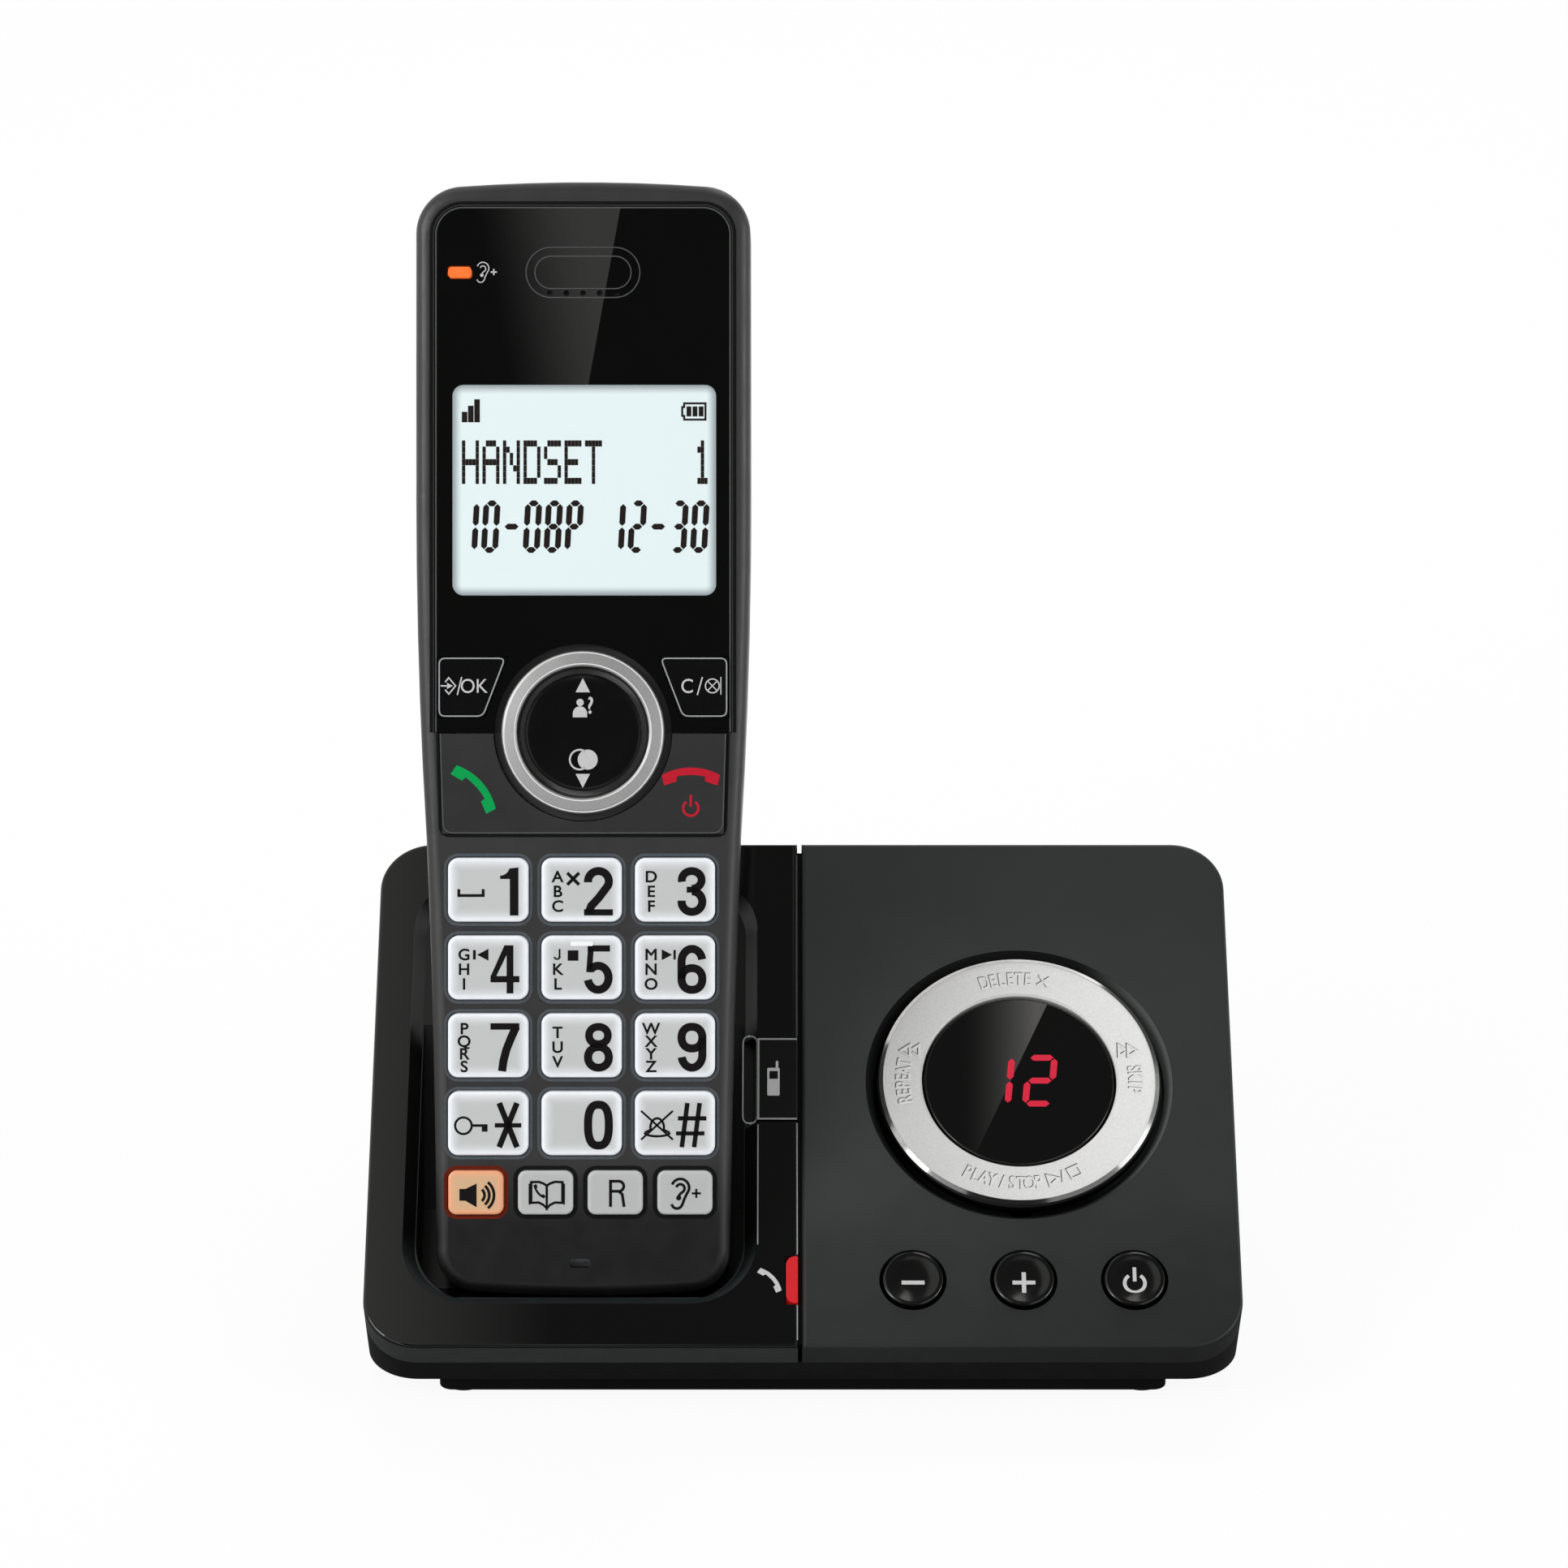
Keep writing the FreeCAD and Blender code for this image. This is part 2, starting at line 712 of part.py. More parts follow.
def pocket_form(name, offset, top):
    """The room of the pocket, grown by offset on every side."""
    shaft = span(name + "Shaft", FACE, f"{POCKET_LEFT} - ({offset})", f"{POCKET_RIGHT} + ({offset})",
                 f"{POCKET_FRONT} - ({offset})", f"{POCKET_BACK} + ({offset})", "-face_length / 2", top,
                 f"rim_corner + ({offset}) / 2")
    return common(name, [shaft, pocket_profile(name + "Profile", offset)])


def lip_form():
    """The sloped lip round the mouth of the pocket."""
    lip = span("Lip", FACE, RIM_LEFT, RIM_RIGHT, "rim_front", RIM_BACK, "-lip_depth", "0", "rim_corner")
    base = lip.Tip
    names = [f"Edge{i}" for i, edge in enumerate(base.Shape.Edges, start=1) if edge.BoundBox.ZMax < TOUCH]
    slope = lip.newObject("PartDesign::Chamfer", "LipSlope")
    slope.Base = (base, names)
    bind(slope, "Size", "lip_depth * 0.98")
    doc.recompute()
    return lip


def make_cradle_cover():
    tags = ("LeftSide", "LeftInner")
    flat = cover_plate("CradlePlate", "-base_width / 2", COVER_EDGE, -1)
    tub = pocket_form("Tub", "pocket_wall", "-cover_thickness / 2")
    dish = span("DishBacking", FACE, f"{POCKET_LEFT} - pocket_wall", f"{POCKET_RIGHT} + pocket_wall",
                f"{POCKET_FRONT}", f"{POCKET_BACK} + pocket_wall", "-lip_depth - pocket_wall",
                "-cover_thickness / 2", "rim_corner")
    solid = join("CradleSolid", [flat, tub, dish, cover_bosses("CradleBosses", tags)])
    slots = [
        pocket_form("Pocket", "0", "cut_over"),
        lip_form(),
        span("FindSlot", FACE, f"{FIND_LEFT} - key_gap", f"{COVER_EDGE} + cut_over", "find_front - key_gap",
             "find_back + key_gap", "-cover_depth - cut_over", "cut_over"),
        span("FindNotch", FACE, f"{FIND_LEFT} - notch_width", FIND_LEFT, "find_front - 3 * key_gap",
             "find_back + 3 * key_gap", "-notch_depth", "cut_over"),
        span("LightSlot", FACE, f"{LIGHT_LEFT} - key_gap", f"{COVER_EDGE} + cut_over",
             "light_front - key_gap", "light_back + key_gap", "-cover_depth - cut_over", "cut_over"),
    ]
    for side, sign in (("Left", "-"), ("Right", "")):
        slots.append(charging_block(f"ContactSlot{side}", f"{sign}contact_spacing / 2", "key_gap",
                                    "-seat_gap - 2 * pocket_wall", "cut_over"))
    slots.extend(pilot_holes(tags))
    return keep("cradle_cover", cut("CradleCover", solid, slots))


def charging_block(name, x, gap, low, high):
    """A block in line with the handset's charging contacts, between two distances along the handset."""
    return span(name, HANDSET, f"{x} - contact_width / 2 - ({gap})", f"{x} + contact_width / 2 + ({gap})",
                low, high, f"-contact_depth - contact_deep / 2 - ({gap})",
                f"-contact_depth + contact_deep / 2 + ({gap})")


def make_charging_contacts():
    base = [charging_block(f"BaseContact{side}", f"{sign}contact_spacing / 2", "-contact_width / 8",
                           "-seat_gap - 2 * pocket_wall - cut_over", "-seat_gap / 2")
            for side, sign in (("Left", "-"), ("Right", ""))]
    keep("base_charging_contacts", group("BaseContacts", base))
    phone = [charging_block(f"PhoneContact{side}", f"{sign}contact_spacing / 2", "0",
                            "seat_gap", "case_wall + contact_inside")
             for side, sign in (("Left", "-"), ("Right", ""))]
    keep("handset_charging_contacts", group("PhoneContacts", phone))


PANEL_BUTTONS = {
    "volume_down_button": f"{RING_X} - button_pitch",
    "volume_up_button": RING_X,
    "answer_on_off_button": f"{RING_X} + button_pitch",
}
RING_POINTS = {"delete": 90, "skip": 0, "play": 270, "repeat": 180}
BOARD_STANDOFFS = {
    "FrontLeft": (f"{RING_X} - button_pitch / 2", "button_y"),
    "FrontRight": (f"{RING_X} + button_pitch / 2", "button_y"),
    "BackLeft": (f"{DIVIDER_X} + standoff_divider", f"{BOARD_BACK} - standoff_inset"),
    "BackRight": ("base_width / 2 - side_post_inset - standoff_side", f"{BOARD_BACK} - standoff_inset"),
}


def around_ring(angle, away):
    """A point at a distance from the middle of the ring key."""
    return f"{RING_X} + {away} * cos({angle})", f"ring_y + {away} * sin({angle})"


def make_control_panel():
    tags = ("RightBack", "RightFront")
    flat = cover_plate("PanelPlate", PANEL_EDGE, "base_width / 2", 1)
    pieces = [flat, cover_bosses("PanelBosses", tags)]
    pieces.append(disc("Cup", FACE, RING_X, "ring_y", "-cup_depth - cup_floor", "-cover_thickness / 2",
                       "recess_outer + cup_wall"))
    for tag, (x, y) in BOARD_STANDOFFS.items():
        pieces.append(disc("Standoff" + tag, FACE, x, y, "-board_depth", "-cover_thickness / 2",
                           "screw_head_radius"))
    solid = join("PanelSolid", pieces)
    holes = [turned("RingRecess", FACE, RING_X, "ring_y", [
        ("tube_outer", "-cup_depth"), ("recess_throat", "-cup_depth"),
        ("recess_throat", "-recess_slope_depth"), ("recess_outer", "0"), ("recess_outer", "cut_over"),
        ("0", "cut_over"), ("0", "window_rise - window_thickness"),
        ("tube_outer", "window_rise - window_thickness")])]
    holes.append(disc("TubeBore", FACE, RING_X, "ring_y", "-board_depth", "cut_over", "tube_inner"))
    for tag, angle in RING_POINTS.items():
        x, y = around_ring(angle, "plunger_circle")
        holes.append(disc("PlungerHole" + tag, FACE, x, y, "-board_depth", "-ring_underside",
                          "plunger_hole"))
    for node, x in PANEL_BUTTONS.items():
        holes.append(disc("Well" + node, FACE, x, "button_y", "-board_depth", "cut_over", "button_well"))
    for tag, (x, y) in BOARD_STANDOFFS.items():
        holes.append(disc("StandoffPilot" + tag, FACE, x, y, "-board_depth - cut_over", "-cover_thickness",
                          "screw_radius + screw_gap / 2"))
    holes.extend(pilot_holes(tags))
    return keep("control_panel", cut("ControlPanel", solid, holes))


# ---------- base: keys, window and light ----------

def make_ring_key():
    """Ring key on a carrier: the carrier rocks front to back on the cup, the ring side to side on it."""
    trim = turned("RingTrim", FACE, RING_X, "ring_y", [
        ("ring_flat_outer", "-ring_underside"), ("ring_outer", "-ring_underside"),
        ("ring_outer", "ring_rise / 4"), ("ring_outer - ring_rise / 4", "ring_rise * 3 / 4"),
        ("ring_flat_outer", "ring_rise + ring_trim_lip")])
    keep("ring_key_trim", trim)
    pieces = [turned("RingDisc", FACE, RING_X, "ring_y", [
        ("ring_inner", "-ring_underside"), ("ring_flat_outer", "-ring_underside"),
        ("ring_flat_outer", "ring_rise"), ("ring_inner + ring_chamfer", "ring_rise"),
        ("ring_inner", "ring_rise - ring_chamfer")])]
    for tag, angle in RING_POINTS.items():
        x, y = around_ring(angle, "plunger_circle")
        pieces.append(disc("Plunger" + tag, FACE, x, y, "-stem_end", "-ring_underside / 2",
                           "plunger_radius"))
    for tag, angle in (("Top", 90), ("Bottom", 270)):
        x, y = around_ring(angle, "(carrier_inner + carrier_outer) / 2")
        pieces.append(disc("RingPivot" + tag, FACE, x, y, "-ring_underside - rock_gap + pivot_gap",
                           "-ring_underside / 2", "pivot_radius"))
    keep("ring_key", join("RingKey", pieces))
    carrier_top = "(-ring_underside - rock_gap)"
    carrier = [turned("CarrierRing", FACE, RING_X, "ring_y", [
        ("carrier_inner", f"{carrier_top} - carrier_thickness"),
        ("carrier_outer", f"{carrier_top} - carrier_thickness"),
        ("carrier_outer", carrier_top), ("carrier_inner", carrier_top)])]
    for tag, angle in (("Right", 0), ("Left", 180)):
        x, y = around_ring(angle, "(carrier_inner + carrier_outer) / 2")
        carrier.append(disc("CarrierPivot" + tag, FACE, x, y, "-cup_depth + pivot_gap",
                            f"{carrier_top} - carrier_thickness / 2", "pivot_radius"))
    keep("ring_key_carrier", join("Carrier", carrier))


def make_number_window():
    keep("display_window", disc("Window", FACE, RING_X, "ring_y", "window_rise - window_thickness",
                                "window_rise", "window_radius", "window_thickness / 4"))
    keep("message_counter", block("Counter", FACE, RING_X, "ring_y", "-board_depth",
                                  "digit_module_width", "digit_module_height",
                                  "board_depth - digit_module_top"))


def make_round_button(node, x):
    """A domed button with a flange under the panel and a stem over its switch."""
    flange_top = "(-cover_thickness - key_gap)"
    flange_bottom = f"({flange_top} - flange_thickness)"
    button = turned("Button" + node, FACE, x, "button_y", [
        ("0", "-stem_end"), ("stem_radius", "-stem_end"), ("stem_radius", flange_bottom),
        ("button_flange", flange_bottom), ("button_flange", flange_top), ("button_radius", flange_top),
        ("button_radius", "button_shoulder"), ("button_radius * 0.88", "button_rise * 0.78"),
        ("button_radius * 0.6", "button_rise * 0.95"), ("0", "button_rise")])
    return keep(node, button)


FIND_MIDDLE = (f"({FIND_LEFT} + {FIND_RIGHT}) / 2", "(find_front + find_back) / 2")


def make_find_key():
    cap = span("FindCap", FACE, FIND_LEFT, FIND_RIGHT, "find_front", "find_back",
               "-cover_thickness - key_gap", "find_rise", None, "find_rise")
    stem = disc("FindStem", FACE, FIND_MIDDLE[0], FIND_MIDDLE[1],
                "-stem_end", "-cover_thickness", "stem_radius")
    return keep("find_handset_key", join("FindKey", [cap, stem]))


def make_in_use_light():
    light = span("InUseLight", FACE, LIGHT_LEFT, COVER_EDGE, "light_front", "light_back",
                 "-board_depth", "light_rise")
    fillet(light, lambda edge: is_upright(edge) and edge.CenterOfMass.x < 0, "light_width * 0.8")
    return keep("in_use_light", light)


# ---------- base: electronics ----------

def make_base_board():
    board = span("BaseBoardBlank", FACE, f"{DIVIDER_X} - board_overlap", "base_width / 2 - board_side",
                 "board_front", BOARD_BACK, "-board_depth - board_thickness", "-board_depth",
                 "board_corner")
    holes = [disc("BoardHole" + tag, FACE, x, y, "-board_depth - board_thickness - cut_over",
                  "-board_depth + cut_over", "screw_radius + 2 * screw_gap")
             for tag, (x, y) in BOARD_STANDOFFS.items()]
    keep("base_circuit_board", cut("BaseBoard", board, holes))
    screws = [screw("BoardScrew" + tag, FACE, x, y, "(-board_depth - board_thickness)",
                    "(board_thickness + board_depth - cover_thickness - screw_tip_gap)")
              for tag, (x, y) in BOARD_STANDOFFS.items()]
    keep("circuit_board_screws", group("BoardScrews", screws))


def make_switches():
    places = {node: (x, "button_y") for node, x in PANEL_BUTTONS.items()}
    for tag, angle in RING_POINTS.items():
        places[tag] = around_ring(angle, "plunger_circle")
    places["find"] = FIND_MIDDLE
    switches = []
    for tag, (x, y) in places.items():
        case = block("SwitchCase" + tag, FACE, x, y, "-board_depth", "switch_size", "switch_size",
                     "switch_height")
        cap = disc("SwitchCap" + tag, FACE, x, y, "-board_depth + switch_height / 2",
                   "-board_depth + switch_height + switch_cap_height", "switch_cap_radius")
        switches.append(join("Switch" + tag, [case, cap]))
    return keep("base_tact_switches", group("Switches", switches))


def make_base_speaker():
    low = "(foot_lift + housing_wall)"
    speaker = turned("BaseSpeaker", WORLD, RING_X, "base_front_y + speaker_y", [
        ("0", f"{low} + speaker_height * 0.14"), ("speaker_radius * 0.4", f"{low} + speaker_height * 0.23"),
        ("speaker_radius * 0.82", low), ("speaker_radius", low),
        ("speaker_radius", f"{low} + speaker_height * 0.11"),
        ("speaker_radius * 0.85", f"{low} + speaker_height * 0.11"),
        ("speaker_radius * 0.6", f"{low} + speaker_height / 2"),
        ("speaker_radius * 0.6", f"{low} + speaker_height"), ("0", f"{low} + speaker_height")])
    return keep("base_loudspeaker", speaker)


def socket_block(tag, x, wide, tall, deep):
    """A socket's body, flush with the back wall."""
    return span(tag + "Block", WORLD, f"{x} - {wide} / 2", f"{x} + {wide} / 2", f"{HOUSING_BACK} - {deep}",
                HOUSING_BACK, f"socket_height - {tall} / 2", f"socket_height + {tall} / 2")


def make_sockets():
    blocks = {tag: socket_block(tag, x, wide, tall, f"{tag.lower()}_socket_deep")
              for tag, x, wide, tall in SOCKETS}
    plug = span("PlugRoom", WORLD, f"{LINE_X} - plug_width / 2", f"{LINE_X} + plug_width / 2",
                f"{HOUSING_BACK} - plug_deep", f"{HOUSING_BACK} + cut_over",
                "socket_height - plug_tall / 2", "socket_height + plug_tall / 2")
    latch = span("LatchRoom", WORLD, f"{LINE_X} - plug_width / 4", f"{LINE_X} + plug_width / 4",
                 f"{HOUSING_BACK} - plug_deep / 2", f"{HOUSING_BACK} + cut_over",
                 "socket_height - plug_tall / 2 - latch_depth", "socket_height")
    keep("line_socket", cut("LineSocket", blocks["Line"], [plug, latch]))
    turn = "rotation(vector(1; 0; 0); 90)"
    bore = make_body("PowerBore", WORLD, POWER_X, f"{HOUSING_BACK} + cut_over", "socket_height", turn)
    sketch = add_sketch(bore)
    draw_circle(sketch, "power_bore_radius")
    draw_circle(sketch, "power_pin_radius")
    pad(bore, sketch, "power_bore_deep + cut_over")
    return keep("power_socket", cut("PowerSocket", blocks["Power"], [bore]))


# ---------- handset: case ----------

def handset_outline(inset):
    """Closed outline of the handset's face, drawn in by inset: bowed ends, waisted sides."""
    head = size("head_width") / 2 - inset
    waist = size("waist_width") / 2 - inset
    foot = size("foot_width") / 2 - inset
    top = size("handset_length") - inset
    shoulder = size("shoulder_height")
    middle = size("waist_height")
    low = size("foot_bow") + inset
    high = top - size("head_bow")
    right = [
        Part.LineSegment(Vector(head, high, 0), Vector(head, shoulder, 0)),
        Part.Arc(Vector(head, shoulder, 0), Vector(head - (head - waist) / 4, (shoulder + middle) / 2, 0),
                 Vector(waist, middle, 0)),
        Part.Arc(Vector(waist, middle, 0), Vector(foot + (waist - foot) / 4, (middle + low) / 2, 0),
                 Vector(foot, low, 0)),
    ]
    bottom = Part.Arc(Vector(foot, low, 0), Vector(0, inset, 0), Vector(-foot, low, 0))
    crown = Part.Arc(Vector(-head, high, 0), Vector(0, top, 0), Vector(head, high, 0))
    mirror = FreeCAD.Matrix(-1, 0, 0, 0, 0, 1, 0, 0, 0, 0, 1, 0, 0, 0, 0, 1)
    edges = [curve.toShape() for curve in right]
    edges += [edge.transformGeometry(mirror) for edge in edges]
    edges += [bottom.toShape(), crown.toShape()]
    return Part.Wire(Part.__sortEdges__(edges))


def handset_slab(inset, top, bottom):
    """The handset's outline as a slab between two heights over its face, with rounded corners."""
    slab = Part.Face(handset_outline(inset)).extrude(Vector(0, 0, top - bottom))
    slab.translate(Vector(0, 0, bottom))
    middle = size("handset_length") / 2
    head = [edge for edge in slab.Edges if is_corner(edge) and edge.CenterOfMass.y > middle]
    slab = slab.makeFillet(size("head_corner") - inset, head)
    foot = [edge for edge in slab.Edges if is_corner(edge) and edge.CenterOfMass.y < middle / 4]
    return slab.makeFillet(size("foot_corner") - inset, foot)


def is_corner(edge):
    """True for the upright edges where the sides meet the ends."""
    along = edge.CenterOfMass.y
    at_end = along > size("shoulder_height") + TOUCH or along < size("waist_height") / 2
    return is_upright(edge) and edge.Curve.TypeId == "Part::GeomLine" and at_end


def back_profile(inset):
    """Side outline of the handset: flat face, heel at the foot, flat back and a thinner head."""
    bottom = -size("head_width")
    top = size("handset_length") + size("head_width")
    thick = size("handset_thickness") - inset
    heel = size("heel_depth") - inset / 2
    rise = size("heel_rise") + inset / 2
    flat_end = size("back_flat_end")
    length = size("handset_length")
    head = size("head_thickness") - inset
    slope = (thick - head) / (length - flat_end) * 2
    points = [Vector(0, bottom, 0), Vector(0, bottom, -heel), Vector(0, inset, -heel),
              Vector(0, rise, -thick), Vector(0, flat_end, -thick)]
    lines = [Part.LineSegment(points[i], points[i + 1]).toShape() for i in range(4)]
    arc = Part.Arc(points[4], Vector(0, (flat_end + length) / 2, -thick + (thick - head) / 4),
                   Vector(0, length, -head)).toShape()
    far = Vector(0, top, -head + slope * (top - length))
    lines.append(arc)
    lines.append(Part.LineSegment(Vector(0, length, -head), far).toShape())
    lines.append(Part.LineSegment(far, Vector(0, top, 0)).toShape())
    lines.append(Part.LineSegment(Vector(0, top, 0), points[0]).toShape())
    face = Part.Face(Part.Wire(Part.__sortEdges__(lines)))
    width = size("head_width") * 2
    form = face.extrude(Vector(width, 0, 0))
    form.translate(Vector(-width / 2, 0, 0))
    return form


def handset_feature(name, shape):
    feature = doc.addObject("Part::Feature", name)
    feature.Shape = shape
    bind(feature, "Placement", HANDSET)
    doc.recompute()
    return feature


def front_form():
    slab = handset_slab(0, 0, -size("split_depth"))
    rim = [edge for edge in slab.Edges if edge.BoundBox.ZMin > -TOUCH]
    return slab.makeFillet(size("front_rim"), rim)


def is_back_edge(edge):
    """True for the edges round the back face, apart from those that cross it."""
    box = edge.BoundBox
    deep = box.ZMin < TOUCH - size("heel_depth") or edge.CenterOfMass.y > size("shoulder_height")
    across = box.XLength > size("foot_width") / 2 and box.ZLength < TOUCH
    behind_split = box.ZMax < -size("split_depth") - size("case_wall") / 2
    return deep and behind_split and not is_upright(edge) and not across


def rear_form(inset):
    """The rear half up to the split; the outer form has a round along its back."""
    slab = handset_slab(inset, -size("split_depth"), -size("handset_thickness") - size("cut_over"))
    form = slab.common(back_profile(inset)).removeSplitter()
    if inset:
        return form
    return form.makeFillet(size("back_rim"), [edge for edge in form.Edges if is_back_edge(edge)])


CASE_SCREWS = {
    "LowLeft": ("-case_screw_x", "case_screw_low"),
    "LowRight": ("case_screw_x", "case_screw_low"),
    "HighLeft": ("-case_screw_x", "handset_length - case_screw_margin"),
    "HighRight": ("case_screw_x", "handset_length - case_screw_margin"),
}
SOFT_KEYS = {"ok_soft_key": -1, "clear_soft_key": 1}
DIAL_KEYS = [["key_star", "key_0", "key_hash"], ["key_7", "key_8", "key_9"],
             ["key_4", "key_5", "key_6"], ["key_1", "key_2", "key_3"]]
FUNCTION_KEYS = ["speaker_key", "phonebook_key", "recall_key", "boost_key"]


def soft_key_form(name, side, gap, low, high):
    """A soft key: square at the side of the handset, cut back along the navigation ring."""
    corners = [("soft_side", "soft_top"), ("soft_inner_top", "soft_top"),
               ("soft_inner_bottom", "soft_bottom"), ("soft_side", "soft_bottom")]
    grow = [(gap, gap), (f"-({gap})", gap), (f"-({gap})", f"-({gap})"), (gap, f"-({gap})")]
    placed = [(f"{side} * ({x} + {dx})", f"{NAV_Y} + {y} + {dy}")
              for (x, y), (dx, dy) in zip(corners, grow)]
    return plate(name, HANDSET, placed, low, high)


def talk_plate_form(name, gap, low, high):
    """The talk and end plate, a wide U cut out round the navigation ring."""
    corners = [(f"-plate_half_bottom - {gap}", f"{PLATE_BOTTOM} - {gap}"),
               (f"plate_half_bottom + {gap}", f"{PLATE_BOTTOM} - {gap}"),
               (f"plate_half_top + {gap}", f"{PLATE_TOP} + {gap}"),
               (f"-plate_half_top - {gap}", f"{PLATE_TOP} + {gap}")]
    blank = plate(name + "Blank", HANDSET, corners, low, high)
    notch = disc(name + "Notch", HANDSET, "0", NAV_Y, f"{low} - cut_over", f"{high} + cut_over",
                 f"nav_recess + key_gap - {gap}")
    return cut(name, blank, [notch])


def cap_form(name, x, y, kind, gap, low, high, rim=None):
    """A key cap, or with a gap the hole that it moves in."""
    return block(name, HANDSET, x, y, low, f"{kind}_width + 2 * {gap}", f"{kind}_tall + 2 * {gap}",
                 f"({high}) - ({low})", f"{kind}_corner + {gap}", rim)


def cap_places():
    """Every dial and function key with its place and kind."""
    for row, names in enumerate(DIAL_KEYS):
        for column, node in enumerate(names, start=-1):
            yield node, f"dial_x + {column} * dial_pitch_x", f"{DIAL_Y} + {row} * {DIAL_PITCH_Y}", "dial"
    for column, node in enumerate(FUNCTION_KEYS):
        yield node, f"function_x + {column - 1.5} * function_pitch", FUNCTION_Y, "function"


def stadium(name, wide, tall, low, high):
    """A slot with round ends at the earpiece."""
    return block(name, HANDSET, "0", EARPIECE_Y, low, wide, tall, f"({high}) - ({low})",
                 f"({tall}) * 0.499")


def sound_holes(name, low, high):
    holes = []
    for i in range(-2, 3):
        holes.append(disc(f"{name}{i + 2}", HANDSET, f"{i} * earpiece_tall / 3",
                          f"{EARPIECE_Y} - earpiece_tall / 2 + earpiece_groove / 2", low, high,
                          "earpiece_groove / 3"))
    return holes


def light_form(name, gap, low, high):
    return block(name, HANDSET, "boost_light_x", EARPIECE_Y, low, f"boost_light_width + 2 * {gap}",
                 f"boost_light_tall + 2 * {gap}", f"({high}) - ({low})", "boost_light_tall / 3")


def lens_form(name, gap, low, high):
    body = span(name, HANDSET, f"-lens_width / 2 - {gap}", f"lens_width / 2 + {gap}",
                f"{NAV_Y} - {gap}", f"{LENS_TOP} + {gap}", low, high)
    fillet(body, lambda edge: is_upright(edge) and edge.CenterOfMass.y > 0, f"lens_corner + {gap}")
    return body


LENS_LOW = "(-lens_inset - lens_thickness)"


def make_front_case():
    outer = handset_feature("FrontOuter", front_form())
    room = handset_feature("FrontRoom", handset_slab(size("case_wall"), -size("face_wall"),
                                                     -size("split_depth") - size("cut_over")))
    shell = cut("FrontShell", outer, [room])
    bosses = [disc("CaseBoss" + tag, HANDSET, x, y, "-split_depth", "-face_wall / 2", "case_boss_radius")
              for tag, (x, y) in CASE_SCREWS.items()]
    solid = join("FrontSolid", [shell] + bosses)
    through_low = "-face_wall - cut_over"
    holes = [
        lens_form("LensSeat", "key_gap", LENS_LOW, "cut_over"),
        block("DisplayHole", HANDSET, "display_x", DISPLAY_Y, through_low, "display_width + 2 * key_gap",
              f"{DISPLAY_TALL} + 2 * key_gap", "face_wall + cut_over"),
        disc("NavRecess", HANDSET, "0", NAV_Y, "-nav_recess_depth", "cut_over", "nav_recess"),
        disc("NavHole", HANDSET, "0", NAV_Y, through_low, "cut_over", "nav_hole"),
        talk_plate_form("TalkHole", "key_gap", through_low, "cut_over"),
        light_form("BoostLightHole", "key_gap", through_low, "cut_over"),
        block("MicHole", HANDSET, "mic_x", "mic_y", through_low, "mic_width", "mic_tall",
              "face_wall + 2 * cut_over", "mic_tall * 0.45"),
    ]
    holes += sound_holes("CaseSoundHole", through_low, "cut_over")
    for node, side in SOFT_KEYS.items():
        holes.append(soft_key_form("Hole" + node, side, "key_gap", through_low, "cut_over"))
    for node, x, y, kind in cap_places():
        holes.append(cap_form("Hole" + node, x, y, kind, "key_gap", through_low, "cut_over"))
    for tag, (x, y) in CASE_SCREWS.items():
        holes.append(disc("CasePilot" + tag, HANDSET, x, y, "-split_depth - cut_over", "-face_wall",
                          "screw_radius + screw_gap / 2"))
    return keep("handset_front_case", cut("FrontCase", solid, holes))


def door_form(name, gap, low):
    """The battery door, or with a gap the recess that it lies in."""
    return span(name, HANDSET, f"-{DOOR_WIDTH} / 2 - {gap}", f"{DOOR_WIDTH} / 2 + {gap}",
                f"{DOOR_BOTTOM} - {gap}", f"{DOOR_TOP} + {gap}", low,
                "-handset_thickness + door_thickness", "door_corner")


